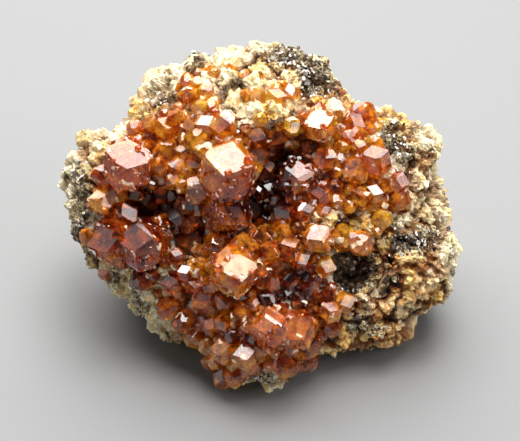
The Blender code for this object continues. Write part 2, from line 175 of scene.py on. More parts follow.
# knobs that stand out of the rock's rim: (u, v, half width, half height, rise in mm)
KNOBS = [
    (-13.0, 31.5, 3.0, 3.0, 1.8), (-21.0, 27.5, 4.0, 3.4, 2.0), (12.5, 29.5, 4.0, 3.4, 1.4),
    (-33.5, 14.0, 2.6, 2.6, 1.0), (33.5, 15.0, 3.0, 3.0, 1.0), (35.0, -14.0, 3.0, 4.0, 1.0),
    (25.5, -24.5, 4.0, 3.0, 1.2), (-38.5, 4.0, 3.0, 4.0, 0.6), (1.0, 34.0, 5.0, 2.0, 0.8),
    (-37.5, 10.5, 2.6, 3.0, 1.8), (-0.5, -34.5, 2.5, 2.2, -1.8), (29.0, -22.0, 4.0, 3.0, 0.8),
]
# dark mica and smoky quartz: (u, v, half width, half height, strength)
MICA_PATCHES = [
    (3.0, 32.5, 6.5, 2.0, 0.5), (8.0, 30.0, 6.0, 3.0, 0.6), (13.0, 26.5, 4.0, 3.6, 0.6),
    (9.5, 25.5, 3.0, 2.6, 0.8), (5.5, 31.0, 2.0, 1.6, 0.4),
    (-20.0, 23.4, 4.0, 1.8, 0.6), (-35.5, 6.5, 2.6, 4.0, 0.8), (-35.0, -3.5, 3.0, 5.5, 1.3),
    (24.8, 13.5, 3.6, 4.4, 1.1), (16.6, -10.9, 4.8, 3.8, 1.9), (31.5, -4.8, 4.4, 2.6, 1.1),
    (27.0, -5.6, 2.6, 2.2, 0.9), (18.2, -21.6, 3.0, 2.0, 0.7), (-23.5, -19.5, 2.5, 2.0, 0.8),
    (22.6, -22.4, 2.4, 1.8, 0.6),
    (-13.6, -17.6, 1.8, 4.2, 1.1), (-25.0, -15.6, 2.6, 2.0, 0.8), (-29.0, -12.6, 3.0, 2.0, 0.9),
    (0.0, -31.4, 3.2, 2.2, 1.0), (28.4, 9.0, 2.0, 5.0, 0.5), (25.2, 1.0, 2.2, 4.5, 0.8),
    (20.5, -18.0, 2.6, 1.8, 0.4), (-4.8, 18.2, 3.4, 1.4, 0.5), (33.0, 11.5, 2.0, 2.5, 0.4),
]
# where the garnets are deep red-brown, or bright with a minus: (u, v, half width, half height,
# strength)
RED_PATCHES = [
    (-26.0, -5.0, 9.0, 8.0, 0.6), (-25.0, 8.0, 6.0, 7.0, 0.3), (-19.0, 2.0, 5.0, 4.0, 1.0),
    (-2.0, 1.0, 9.0, 6.0, 1.0), (6.0, 11.0, 5.0, 4.0, 1.0), (5.0, -13.5, 8.0, 4.0, 1.2),
    (10.0, 5.5, 6.0, 5.0, 0.6), (-4.0, -22.0, 5.0, 3.0, 0.8), (-22.0, -12.0, 4.0, 5.0, 0.8),
    (20.0, 15.8, 2.0, 2.0, -1.5), (4.8, 16.2, 1.8, 1.6, -1.8), (-11.0, 17.5, 3.0, 2.0, -0.9),
    (21.0, 3.0, 4.0, 7.0, -0.6), (11.5, -9.5, 2.4, 2.4, -1.0), (3.3, -13.7, 2.0, 1.6, -1.8),
    (-29.5, -9.5, 2.0, 1.6, -1.8), (-33.0, 0.0, 2.0, 3.5, -0.9), (-4.0, 25.5, 11.0, 4.5, -1.8),
    (13.0, 1.0, 6.0, 4.0, -0.55), (-3.0, -18.5, 3.0, 2.0, -1.0), (-15.0, 11.0, 3.0, 3.0, -0.5),
    (-28.0, 14.0, 3.0, 2.0, -0.8), (13.0, 17.0, 4.0, 3.0, -0.5), (-8.0, -27.0, 3.0, 2.0, -0.3),
    (0.0, -23.0, 10.0, 7.0, 0.2),
    (21.5, -1.3, 1.6, 1.8, -0.4), (15.0, 0.4, 1.6, 1.4, -0.3), (-0.8, 17.8, 1.6, 1.8, -1.5),
    (2.0, -17.0, 9.0, 7.0, 0.45),
]
# where the rock is nearly white, partly white rock and partly a painted highlight on the lit rim
# at the upper left: (u, v, half width, half height, strength)
PALE_PATCHES = [
    (-20.0, 28.0, 9.0, 4.5, 1.6), (-38.0, 8.0, 3.0, 7.0, 1.4), (-9.0, 32.0, 7.0, 3.0, 1.4),
    (-1.0, 24.0, 10.0, 4.0, 0.3), (37.5, -8.0, 3.0, 7.0, 1.0),
    (33.0, 17.0, 3.0, 4.0, 1.0), (28.0, 1.0, 4.0, 3.0, 0.6), (-33.0, -9.5, 4.0, 3.0, 0.4),
    (4.0, 33.0, 6.0, 2.0, 0.8), (13.0, 27.5, 3.0, 2.0, 0.4), (35.0, 6.0, 2.5, 6.0, 0.5),
    (-5.0, 20.0, 4.0, 2.0, 0.5), (-22.0, -18.0, 8.0, 6.0, 1.6), (-29.0, 17.0, 5.0, 3.0, 1.0),
    (-0.5, -32.5, 4.0, 2.4, 1.2), (-37.0, -3.0, 2.0, 5.0, 0.5), (30.0, -20.0, 4.0, 3.0, 0.4),
]
# where iron stains the rock amber to brown: (u, v, half width, half height, strength)
AMBER_PATCHES = [
    (16.0, -22.0, 9.0, 4.0, 0.9), (28.0, -17.0, 8.0, 6.0, 0.8), (24.0, -9.0, 5.0, 4.0, 0.6),
    (27.0, 6.0, 4.0, 6.0, 0.5), (-21.0, -9.5, 5.0, 4.0, 0.6), (-28.0, 15.0, 5.0, 4.0, 0.3),
    (14.0, 24.0, 5.0, 3.0, 0.4), (-2.0, -26.0, 9.0, 6.0, 0.9), (-15.0, 24.0, 6.0, 5.0, 0.3),
    (20.0, -13.0, 5.0, 4.0, 0.7),
]
# where painted shade darkens the garnets and the lining between them almost to black, down in
# the cavities: (u, v, half width, half height, strength)
CAVITY_SHADE_PATCHES = [
    (-20.5, 1.0, 5.0, 2.6, 1.3), (3.0, 9.0, 2.6, 4.0, 1.2), (7.0, 13.0, 3.0, 2.0, 0.8),
    (-1.0, 1.0, 5.5, 2.8, 1.3), (-11.0, -4.0, 7.0, 2.0, 1.1), (6.0, -13.5, 4.0, 3.0, 1.1),
    (0.0, 5.0, 5.0, 2.5, 0.6), (9.0, -18.0, 4.0, 2.0, 0.6), (-12.0, 1.5, 3.0, 2.5, 0.6),
    (4.0, -25.0, 3.0, 2.0, 0.4), (-18.0, -11.0, 3.0, 3.0, 0.4), (-30.0, -2.5, 2.5, 1.5, 0.6),
]
# cream dust and crust on the garnets: (u, v, half width, half height, strength)
DUST_PATCHES = [
    (-23.0, 11.8, 2.2, 2.0, 1.0), (-9.4, 12.0, 3.0, 2.6, 0.9), (-2.0, -13.0, 3.4, 2.0, 0.6),
    (-21.0, -3.5, 2.0, 2.0, 0.5), (-25.0, 6.0, 2.5, 2.0, 0.5), (13.5, -2.0, 6.0, 2.6, 1.0),
    (-13.5, -8.6, 4.0, 1.8, 1.0), (-5.0, 18.5, 9.0, 3.4, 1.0), (-6.0, 26.0, 10.0, 3.0, 0.9),
    (20.0, 4.0, 3.0, 3.0, 0.5), (-15.0, 3.0, 3.0, 3.0, 0.5), (12.0, 18.5, 4.0, 1.6, 0.6),
    (-22.0, -13.0, 3.0, 4.0, 0.5), (18.0, 12.0, 2.5, 2.0, 0.6), (-7.0, -24.0, 3.0, 3.0, 0.4),
]

# facets that are etched dull, by garnet: (slope u, slope v, how much)
FROSTED_FACETS = {
    "garnet_front": [(0.20, 0.12, 0.92), (-0.92, 1.33, 0.3)],
    "garnet_centre_pair": [(0.08, 0.42, 0.1)],
    "garnet_upper_left": [(-0.02, 0.62, 0.12)],
    "garnet_front_twin": [(0.08, 0.08, 0.15), (0.63, 1.70, 0.15)],
}

# ---- colours, from the darkest to the brightest, and light ----
GARNET_TONES = [
    (0.0, "#66160a"), (0.18, "#be4610"), (0.42, "#ee741a"), (0.65, "#fe9622"), (0.85, "#ffaa28"),
    (1.0, "#ffc038"),
]
# how the garnets' glass is coloured by depth: density per metre, colour, share that is clear
GARNET_DEPTHS = {
    "large": (26.0, "#f29c00", 0.68), "medium": (70.0, "#f4a000", 0.88),
    "small": (90.0, "#f4a000", 0.85), "overgrowth": (150.0, "#f6a800", 0.85),
}
# the rock where it is plain, where iron stains it, where it is pale, partly a painted highlight, and
# its mica specks
ROCK_TONES = [
    (0.36, "#2c160a"), (0.43, "#7e4a18"), (0.49, "#d09438"), (0.56, "#f6cc60"), (0.63, "#ffea98"),
    (0.71, "#fff6c8"), (0.78, "#ffdc68"), (0.86, "#f0a828"),
]
AMBER_TONES = [
    (0.38, "#321206"), (0.45, "#86400e"), (0.52, "#d88428"), (0.59, "#fcc45c"), (0.66, "#ffe494"),
    (0.73, "#fcc868"), (0.82, "#e4801c"),
]
PALE_TONES = [
    (0.34, "#6e563a"), (0.41, "#d8c294"), (0.48, "#fceec4"), (0.60, "#fffae0"), (0.84, "#feecac"),
]
SPECK_TONES = [
    (0.33, "#160f08"), (0.40, "#483624"), (0.46, "#90784c"), (0.52, "#e0cc98"), (0.58, "#fdf4d0"),
]
FLAKE_TONES = [
    (0.0, "#1a1613"), (0.3, "#443c36"), (0.5, "#8c847a"), (0.75, "#c4bcae"), (1.0, "#f4f0e6"),
]
# the softboxes: the slope of the facets that throw it into view, its distance and width in
# metres, its power in watts
SOFTBOXES = {
    "overhead_softbox": ((0.10, 0.46), 0.45, 0.30, 1.85),
    "left_window": ((-0.42, 0.20), 0.60, 0.35, 0.3),
    "right_window": ((0.55, 0.15), 0.60, 0.40, 1.5),
    "front_fill": ((-0.35, -0.35), 0.60, 0.60, 0.75),
    "ceiling_panel": ((-0.10, 0.95), 0.60, 0.90, 11.6),
}


# ---- small helpers ----

def from_hex(text):
    """An sRGB hex colour as linear red, green, blue and alpha."""
    channels = [int(text[place:place + 2], 16) / 255 for place in (1, 3, 5)]
    linear = [c / 12.92 if c <= 0.04045 else ((c + 0.055) / 1.055) ** 2.4 for c in channels]
    return (*linear, 1.0)


def to_face(points):
    """World points in metres as (u, v, w) in millimetres."""
    return (points - FACE_CENTRE) @ FACE_AXES.T / MM


def to_world(uvw):
    """(u, v, w) in millimetres as world points in metres."""
    return uvw * MM @ FACE_AXES + FACE_CENTRE


def vertex_places(mesh):
    """The mesh's vertices, one row each."""
    places = np.empty(len(mesh.vertices) * 3)
    mesh.vertices.foreach_get("co", places)
    return places.reshape(-1, 3)


def vertex_normals(mesh):
    """The directions that the mesh's surface faces at its vertices, one row each."""
    normals = np.empty(len(mesh.vertices) * 3)
    mesh.vertices.foreach_get("normal", normals)
    return normals.reshape(-1, 3)


def set_weights(mesh, name, values):
    """Store a value for each vertex under a name that materials and trees can read."""
    layer = mesh.attributes.new(name, "FLOAT", "POINT")
    layer.data.foreach_set("value", np.asarray(values, np.float32))


def patches_at(patches, u, v):
    """The sum of soft round patches at places on the druse's front."""
    total = np.zeros_like(u)
    for centre_u, centre_v, half_u, half_v, strength in patches:
        spread = ((u - centre_u) / half_u) ** 2 + ((v - centre_v) / half_v) ** 2
        total += strength * np.exp(-spread)
    return total


def smooth_step(low, high, values):
    """0 up to low, 1 from high on, and a smooth rise between."""
    part = np.clip((values - low) / (high - low), 0.0, 1.0)
    return part * part * (3 - 2 * part)


def link(item):
    """Put an object in the scene."""
    bpy.context.scene.collection.objects.link(item)
    return item


def finish_piece(piece, slot, *replaced):
    """Hang the piece on the root body and hide the solids that it stands for. The slot is not used.
    """
    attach(piece, "root")
    if replaced:
        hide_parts(*replaced)


def add_node(tree, kind, settings=None, stops=(), **inputs):
    """A node with its settings, its colour ramp's stops if it has one, and its inputs set or
    linked by socket name or number."""
    node = tree.nodes.new(kind)
    for name, value in (settings or {}).items():
        setattr(node, name, value)
    for index, (position, colour) in enumerate(stops):
        elements = node.color_ramp.elements
        element = elements[index] if index < len(elements) else elements.new(position)
        element.position = position
        element.color = from_hex(colour)
    for name, value in inputs.items():
        key = int(name[1:]) if name[0] == "_" else name.replace("_", " ")
        if isinstance(value, bpy.types.NodeSocket):
            tree.links.new(value, node.inputs[key])
        else:
            node.inputs[key].default_value = value
    return node


def new_material(name, *weights):
    """A material without a shader, its node tree, and the colour weights of the mesh it reads."""
    material = bpy.data.materials.new(name)
    material.use_nodes = True
    tree = material.node_tree
    tree.nodes.clear()
    read = {weight: add_node(tree, "ShaderNodeAttribute", {"attribute_name": weight}).outputs["Fac"]
            for weight in weights}
    return material, tree, read


# ---- the rock's shape ----

def round_curve_table(knots, steps=720):
    """A smooth closed curve through (angle, value) knots, sampled all round."""
    knots = sorted(knots)
    count = len(knots)
    table = []
    for step in range(steps):
        angle = step * 360 / steps
        index = max((i for i in range(count) if knots[i][0] <= angle), default=-1)
        before, start, end, after = (knots[(index + k) % count][1] for k in (-1, 0, 1, 2))
        from_angle, to_angle = knots[index % count][0], knots[(index + 1) % count][0]
        part = ((angle - from_angle) % 360) / ((to_angle - from_angle) % 360 or 360)
        table.append(0.5 * (2 * start + (end - before) * part
                            + (2 * before - 5 * start + 4 * end - after) * part ** 2
                            + (3 * start - before - 3 * end + after) * part ** 3))
    return np.array(table + table[:1])


def read_round(table, angles):
    """The values of a table that goes all round, at angles in degrees."""
    return np.interp(angles % 360, np.linspace(0, 360, len(table)), table)


def outline_reach(outline, u, v):
    """How far places on the front lie from its middle, as a share of the way to an outline."""
    knots = [(math.degrees(math.atan2(y, x)) % 360, math.hypot(x, y)) for x, y in outline]
    table = round_curve_table(knots)
    return np.hypot(u, v) / read_round(table, np.degrees(np.arctan2(v, u)))


def rock_places(directions):
    """Where unit directions land on the rock's broad shape, as (u, v, w) in mm."""
    x, y, z = directions.T
    angles = np.degrees(np.arctan2(y, x))
    reach = np.minimum(1.0, np.hypot(x, y))
    knots = [(math.degrees(math.atan2(v, u)) % 360, math.hypot(u, v)) for u, v in RIM]
    rim = read_round(round_curve_table(knots), angles)
    u, v = x * rim, y * rim
    level = read_round(round_curve_table(RIM_LEVELS), angles) * reach ** 2
    dome = FRONT_RISE * (1 - reach ** FRONT_ROUNDNESS) ** (1 / FRONT_ROUNDNESS)
    front = level + dome + patches_at(RELIEF, u, v) * (1 - reach ** RIM_HOLD)
    back = level - BACK_DEPTH * (1 - reach ** BACK_ROUNDNESS) ** (1 / BACK_ROUNDNESS)
    places = np.column_stack((u, v, np.where(z >= 0, front, back)))
    lumps = cloud_heights(places, ROUGH_LENGTH, ROUGH_FALL, ROUGH_LAYERS, seed=0)
    return places + directions * lumps[:, None] * ROUGH_RISE


def grain_heights(places, pitch, seed):
    """Blocky grains of a given pitch in mm: a tilted flat top each, a groove between them, and a
    tone by chance. Each draws its chances from noise at multiples of its centre."""
    heights = np.empty(len(places))
    grooves = np.empty(len(places))
    tones = np.empty(len(places))
    shift = Vector((seed * 7.3, seed * 3.1, seed * 5.7))
    for index, place in enumerate(places):
        spot = Vector(place) / pitch + shift
        distances, centres = noise.voronoi(spot)
        centre = centres[0]
        tilt = noise.cell_vector(centre * 3.7) - Vector((0.5, 0.5, 0.5))
        heights[index] = tilt.dot(spot - centre) * 1.6 + noise.cell(centre * 5.1) - 0.5
        grooves[index] = distances[1] - distances[0]
        tones[index] = noise.cell(centre * 9.7)
    return heights, grooves, tones


def cloud_heights(places, pitch, fall, layers, seed):
    """Cloudy noise of a given pitch in mm, about -1 to 1, whose finer layers fade by a fall."""
    shift = Vector((seed * 5.3, seed * 2.9, seed * 8.1))
    return np.array([noise.fractal(Vector(place) / pitch + shift, fall, ROUGH_STEP, layers)
                     for place in places])


def fine_sphere(divisions, front_above):
    """An icosphere of unit radius that is twice as fine in front."""
    bm = bmesh.new()
    bmesh.ops.create_icosphere(bm, subdivisions=divisions, radius=1.0)
    edges = [e for e in bm.edges if min(e.verts[0].co.z, e.verts[1].co.z) > front_above]
    bmesh.ops.subdivide_edges(bm, edges=edges, cuts=1, use_grid_fill=True)
    bmesh.ops.triangulate(bm, faces=bm.faces)
    mesh = bpy.data.meshes.new("rock")
    bm.to_mesh(mesh)
    bm.free()
    return mesh


def garnet_tree():
    """A search tree of every solid garnet."""
    bm = bmesh.new()
    for name in GARNET_NODES:
        bm.from_mesh(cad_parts[name].data)
    tree = BVHTree.FromBMesh(bm)
    bm.free()
    return tree


def garnet_depths(places, tree):
    """How far each place lies above the back of the solid garnet round it, or 0 outside them."""
    out = Vector(FACE_OUT)
    through, skin = 20 * MM, 0.1 * MM       # a ray that crosses any garnet, and a place on a back
    depths = np.zeros(len(places))
    for index, place in enumerate(places):
        spot = Vector(place)
        hit, normal, _, _ = tree.ray_cast(spot, out, through)
        if hit is None or normal.dot(out) <= 0:
            continue
        hit, normal, _, distance = tree.ray_cast(spot, -out, through)
        depths[index] = distance if hit is not None and normal.dot(out) < 0 else skin
    return depths


def choose_seeds(places, chances, limits, sizes, tries, closeness, seed):
    """Vertices that crystals or grains grow on, the largest first, and their radii. Each keeps
    clear of those before it by a share of their radii, so small ones fill the gaps."""
    pick = np.random.default_rng(seed)
    largest, smallest = sizes
    order = pick.choice(len(places), tries, p=chances / chances.sum())
    radii = np.minimum(largest * (smallest / largest) ** np.linspace(0, 1, tries) ** SIZE_FALL,
                       limits[order])
    luck = pick.random(tries)
    chosen = np.zeros(tries, int)
    spots, taken = np.empty((tries, 3)), np.empty(tries)
    count = 0
    for index, radius, draw in zip(order, radii, luck):
        if draw > chances[index] or radius < smallest:
            continue
        clear = closeness * (taken[:count] + radius)
        near = np.abs(spots[:count] - places[index]).max(1) < clear
        away = np.linalg.norm(spots[:count][near] - places[index], axis=1)
        if (away < clear[near]).any():
            continue
        chosen[count], spots[count], taken[count] = index, places[index], radius
        count += 1
    return chosen[:count], taken[:count]


def sow(kind, places, normals, chances, limits, sizes, weights):
    """Sow one kind's seeds: a mesh of loose vertices with their radii, outward directions and
    colour weights. Returns where they lie, the directions and the radii."""
    tries, closeness, seed, sink = SOWING[kind]
    chosen, radii = choose_seeds(places, chances, limits, sizes, tries, closeness, seed)
    centres = places[chosen] - normals[chosen] * (radii * sink)[:, None]
    mesh = bpy.data.meshes.new(kind + "_seeds")
    mesh.from_pydata(centres.tolist(), [], [])
    set_weights(mesh, "radius", radii)
    outward = mesh.attributes.new("outward", "FLOAT_VECTOR", "POINT")
    outward.data.foreach_set("vector", np.asarray(normals[chosen], np.float32).ravel())
    for name, values in weights.items():
        set_weights(mesh, name, values[chosen])
    return centres, normals[chosen], radii


def press_sockets(places, centres, normals, radii):
    """Sink the rock's vertices that lie in a seed's ball to the back of it."""
    order = np.argsort(-radii)
    for centre, normal, radius in zip(centres[order], normals[order], radii[order]):
        near = np.flatnonzero(np.abs(places - centre).max(1) < radius)
        away = places[near] - centre
        height = away @ normal
        across = np.linalg.norm(away - height[:, None] * normal, axis=1)
        hit = across < radius * SOCKET_WIDTH
        bottom = -np.sqrt(np.maximum(radius ** 2 - across[hit] ** 2, 0.0)) - SOCKET_GAP
        places[near[hit]] += np.minimum(bottom - height[hit], 0.0)[:, None] * normal
    return places


def rock_regions(uvw, front):
    """Where the garnets' zone, the crust over it and the dark mica lie, each from 0 up."""
    u, v = uvw[:, 0], uvw[:, 1]
    ragged = cloud_heights(uvw, 4.0, 0.8, 3, seed=4) * 0.05
    in_zone = 1 - smooth_step(0.95, 1.02, outline_reach(GARNET_ZONE, u, v) + ragged)
    in_zone = np.where(front, in_zone, 0.0)
    crust = np.clip(patches_at(CRUST_PATCHES, u, v), 0, 1) * in_zone
    scattered = np.clip(cloud_heights(uvw, 12.0, 0.7, 3, seed=31) * 2.4 - 0.1, 0.1, 0.8)
    mica = np.where(front, np.clip(patches_at(MICA_PATCHES, u, v), 0, 1.6), scattered)
    return in_zone, crust, mica


def rock_roughness(uvw, sizes):
    """The layers of the rock's roughness by name, and the tone of its grains."""
    warp = np.column_stack([cloud_heights(uvw, 3.5, 0.7, 3, seed) for seed in (21, 22, 23)])
    bent = uvw + warp * 1.1
    lump, lump_groove, lump_tone = grain_heights(bent, sizes.lump / MM, seed=3)
    coarse, coarse_groove, coarse_tone = grain_heights(bent, sizes.coarse_grain / MM, seed=1)
    fine, fine_groove, _ = grain_heights(bent, sizes.fine_grain / MM, seed=2)
    cloud = cloud_heights(uvw, 2.6, 0.55, 5, seed=6)
    layers = {
        "lump": lump, "coarse": coarse, "fine": fine, "cloud": cloud,
        "pit": 1 - smooth_step(0.0, 0.3, lump_groove + cloud * 0.08),
        "groove": 1 - smooth_step(0.0, 0.22, coarse_groove + cloud * 0.06),
        "crack": 1 - smooth_step(0.0, 0.2, fine_groove),
    }
    return layers, lump_tone * 0.4 + coarse_tone * 0.6


def garnet_room(places, chances, solids):
    """How far each place with a chance of a garnet lies from the solid ones."""
    return np.array([solids.find_nearest(Vector(place), ROOM)[3] or ROOM if chance > 0 else 0
                     for place, chance in zip(places, chances)])


def make_rock_mesh(sizes):
    """The fine rock with its garnets' sockets, and the seeds of all that is sown on it."""
    mesh = fine_sphere(sizes.rock_divisions, FINE_FRONT)
    directions = vertex_places(mesh)
    directions /= np.linalg.norm(directions, axis=1)[:, None]
    uvw = rock_places(directions)
    mesh.vertices.foreach_set("co", to_world(uvw).ravel())
    mesh.update()
    normals = vertex_normals(mesh)

    u, v = uvw[:, 0], uvw[:, 1]
    in_zone, crust, mica = rock_regions(uvw, directions[:, 2] > 0)
    layers, grain_tone = rock_roughness(uvw, sizes)
    facing = smooth_step(-0.25, 0.1, directions[:, 2])
    push = sum(ROUGHNESS[name][0] * layer for name, layer in layers.items())
    push *= 0.6 + 0.4 * facing
    push = push * (1 - 0.7 * in_zone * (1 - crust)) + crust * CRUST_RISE + patches_at(KNOBS, u, v)
    places = to_world(uvw) + normals * (push * MM)[:, None]
    low = places[:, 2] < 0.15 * MM
    places[low, 2] = np.clip(0.12 * MM * (push[low] + 0.6), 0.0, FOOT_RELIEF)

    # painted light: the raised tops get a lighter tone and the pits a darker one
    height = sum(ROUGHNESS[name][1] * layer for name, layer in layers.items())
    # pale rock, partly white rock and partly a painted highlight on the lit rim
    pale = np.clip(patches_at(PALE_PATCHES, u, v), 0, 1) * (0.3 + 0.7 * facing)
    # painted brown shade in the grooves and pits, less in the open garnet zone and on pale or crusted
    # rock
    hollow_shade = np.clip(layers["groove"] * 0.6 + layers["pit"], 0, 1)
    hollow_shade *= 1 - 0.8 * in_zone * (1 - crust)
    hollow_shade *= 1 - 0.65 * np.maximum(pale, crust)
    weights = {
        "height": np.clip(height + 0.5, 0, 1),
        "grain_tone": grain_tone,
        "garnet_zone": in_zone,
        "crust": crust,
        "mica": mica,
        "groove": hollow_shade,
        "pale": pale,
        "amber": np.clip(patches_at(AMBER_PATCHES, u, v), 0, 1),
        "redness": np.clip(patches_at(RED_PATCHES, u, v), -1, 1),
        # painted shade in the cavities, for the lining and the garnets
        "darkness": np.clip(patches_at(CAVITY_SHADE_PATCHES, u, v), 0, 1) * in_zone,
        "dust": np.clip(patches_at(DUST_PATCHES, u, v), 0, 1),
    }
    for name, values in weights.items():
        set_weights(mesh, name, values)

    solids = garnet_tree()
    depths = np.where(in_zone > 0, garnet_depths(places, solids), 0.0)
    free = depths == 0
    covered = crust + cloud_heights(uvw, 2.2, 0.8, 3, seed=12) * 0.35 > 0.44
    chances = in_zone * free * ~covered * (1 - np.clip(mica, 0, 0.95))
    room = garnet_room(places, chances, solids)
    limits = np.minimum((room * 1.5 + 0.6 * MM) * (1 - 0.6 * crust), places[:, 2])
    finest = np.clip(patches_at(FINE_PATCHES, u, v), 0, 0.6)
    limits = np.minimum(limits, sizes.largest_small * (1 - finest))
    balls = sow("small_garnet", places, normals, chances, limits,
                (sizes.largest_small, sizes.smallest_small), weights)
    places = press_sockets(places, *balls)
    places -= np.where(depths > 0, depths + SOCKET_GAP, 0.0)[:, None] * FACE_OUT
    places[:, 2] = np.maximum(places[:, 2], 0.0)
    mesh.vertices.foreach_set("co", places.ravel())
    mesh.update()

    bare = np.clip(1 - in_zone + crust, 0, 1) * free * (1 - np.clip(mica, 0, 0.9))
    flaky = np.clip(mica, 0, 1) * (1 - in_zone * 0.7) * free
    for kind, chances, radii in (("grain", bare, GRAIN_RADII), ("flake", flaky, FLAKE_RADII)):
        limits = np.minimum(radii[0] * MM, places[:, 2])
        sow(kind, places, normals, chances, limits, np.array(radii) * MM, weights)
    return mesh


# ---- materials ----

def rock_material():
    """Feldspar and quartz rock, broken and weathered: cream to ochre with dark mica specks, dull,
    with painted brown shade in the hollows and painted highlights on the raised tops, whiter and
    more amber by region, where the whiter is partly a painted highlight."""
    material, tree, weight = new_material(
        "weathered_feldspar_rock", "height", "grain_tone", "amber", "pale", "mica", "garnet_zone",
        "crust", "darkness", "groove")
    place = add_node(tree, "ShaderNodeTexCoord").outputs["Object"]
    blotch = add_node(tree, "ShaderNodeTexNoise", Vector=place, Scale=1 / (6 * MM), Detail=5.0,
                      Roughness=0.6).outputs["Fac"]
    grain = add_node(tree, "ShaderNodeTexNoise", Vector=place, Scale=1 / (2.6 * MM), Detail=9.0,
                     Roughness=0.78, Distortion=0.6)
    # grain by grain, some of the grains are lighter, and higher places are lighter and pits darker,
    # as painted highlight and painted shade
    pick = grain.outputs["Fac"]
    for source, share in ((weight["height"], 0.28), (weight["grain_tone"], 0.26), (blotch, 0.56)):
        pick = add_node(tree, "ShaderNodeMath", {"operation": "MULTIPLY_ADD"}, _0=source, _1=share,
                        _2=pick).outputs[0]
    pick = add_node(tree, "ShaderNodeMath", {"operation": "SUBTRACT"}, _0=pick,
                    _1=0.25).outputs[0]
    tone = add_node(tree, "ShaderNodeValToRGB", stops=ROCK_TONES, Fac=pick).outputs["Color"]
    # the pale ramp whitens the rock, partly as a painted highlight
    for name, tones, low, high in (("amber", AMBER_TONES, 0.45, 0.75),
                                   ("pale", PALE_TONES, 0.46, 0.70)):
        ramp = add_node(tree, "ShaderNodeValToRGB", stops=tones, Fac=pick)
        more = add_node(tree, "ShaderNodeMath", {"operation": "MULTIPLY_ADD"}, _0=weight[name],
                        _1=0.35, _2=blotch)
        share = add_node(tree, "ShaderNodeMapRange", Value=more.outputs[0], From_Min=low,
                         From_Max=high)
        tone = add_node(tree, "ShaderNodeMix", {"data_type": "RGBA"}, _0=share.outputs["Result"],
                        _6=tone, _7=ramp.outputs["Color"]).outputs[2]

    # specks of mica, thick in the dark patches and few where the rock is pale
    specks = add_node(tree, "ShaderNodeTexNoise", Vector=place, Scale=1 / (1.1 * MM), Detail=5.0,
                      Roughness=0.7, Distortion=0.8)
    flecked = specks.outputs["Fac"]
    for source, share in ((weight["mica"], 0.25), (blotch, -0.35), (weight["pale"], -0.08)):
        flecked = add_node(tree, "ShaderNodeMath", {"operation": "MULTIPLY_ADD"}, _0=source,
                           _1=share, _2=flecked).outputs[0]
    dark = add_node(tree, "ShaderNodeMapRange", Value=flecked, From_Min=0.415, From_Max=0.445)
    glitter = add_node(tree, "ShaderNodeTexNoise", Vector=place, Scale=1 / (0.55 * MM), Detail=5.0,
                       Roughness=0.75)
    blacker = add_node(tree, "ShaderNodeMath", {"operation": "MULTIPLY_ADD"}, _0=weight["mica"],
                       _1=-0.08, _2=glitter.outputs["Fac"])
    speck_tone = add_node(tree, "ShaderNodeValToRGB", stops=SPECK_TONES, Fac=blacker.outputs[0])
    specked = add_node(tree, "ShaderNodeMix", {"data_type": "RGBA"}, _0=dark.outputs["Result"],
                       _6=tone, _7=speck_tone.outputs["Color"])

    # a cream lining between the small garnets, darkened almost to black by painted shade in the
    # cavities, and painted brown shade in the hollows
    lining = add_node(tree, "ShaderNodeMix", {"data_type": "RGBA"}, _0=weight["darkness"],
                      _6=from_hex("#fcead0"), _7=from_hex("#3c1408"))
    open_zone = add_node(tree, "ShaderNodeMath", {"operation": "SUBTRACT", "use_clamp": True},
                         _0=weight["garnet_zone"], _1=weight["crust"])
    lined = add_node(tree, "ShaderNodeMix", {"data_type": "RGBA"}, _0=open_zone.outputs[0],
                     _6=specked.outputs[2], _7=lining.outputs[2])
    # painted brown shade multiplied into the grooves and pits
    hollow_shaded = add_node(tree, "ShaderNodeMix", {"data_type": "RGBA", "blend_type": "MULTIPLY"},
                       _0=weight["groove"], _6=lined.outputs[2], _7=from_hex("#9c6c3e"))

    grit = add_node(tree, "ShaderNodeTexNoise", Vector=place, Scale=1 / (0.45 * MM), Detail=5.0,
                    Roughness=0.7)
    bump = add_node(tree, "ShaderNodeBump", Strength=0.9, Distance=0.45 * MM,
                    Height=grit.outputs["Fac"])
    gloss = add_node(tree, "ShaderNodeMapRange", Value=dark.outputs["Result"], To_Min=0.62,
                     To_Max=0.3)
    shader = add_node(tree, "ShaderNodeBsdfPrincipled", Base_Color=hollow_shaded.outputs[2],
                      Roughness=gloss.outputs["Result"], Normal=bump.outputs["Normal"])
    add_node(tree, "ShaderNodeOutputMaterial", Surface=shader.outputs[0])
    return material


def mica_material():
    """Dark mica: thin cleaved plates, black to silvery, each with a sheen of its own."""
    material, tree, weight = new_material("biotite_flakes", "mica", "tint")
    darker = add_node(tree, "ShaderNodeMath", {"operation": "MULTIPLY_ADD"}, _0=weight["mica"],
                      _1=-0.5, _2=weight["tint"])
    shown = add_node(tree, "ShaderNodeMath", {"operation": "ADD"}, _0=darker.outputs[0], _1=0.53)
    tone = add_node(tree, "ShaderNodeValToRGB", stops=FLAKE_TONES, Fac=shown.outputs[0])
    place = add_node(tree, "ShaderNodeTexCoord").outputs["Object"]
    cloud = add_node(tree, "ShaderNodeTexNoise", Vector=place, Scale=1 / (0.5 * MM), Detail=3.0)
    worn = add_node(tree, "ShaderNodeMapRange", Value=cloud.outputs["Fac"], To_Min=0.15,
                    To_Max=0.55)
    shader = add_node(tree, "ShaderNodeBsdfPrincipled", Base_Color=tone.outputs["Color"],
                      Roughness=worn.outputs["Result"])
    add_node(tree, "ShaderNodeOutputMaterial", Surface=shader.outputs[0])
    return material


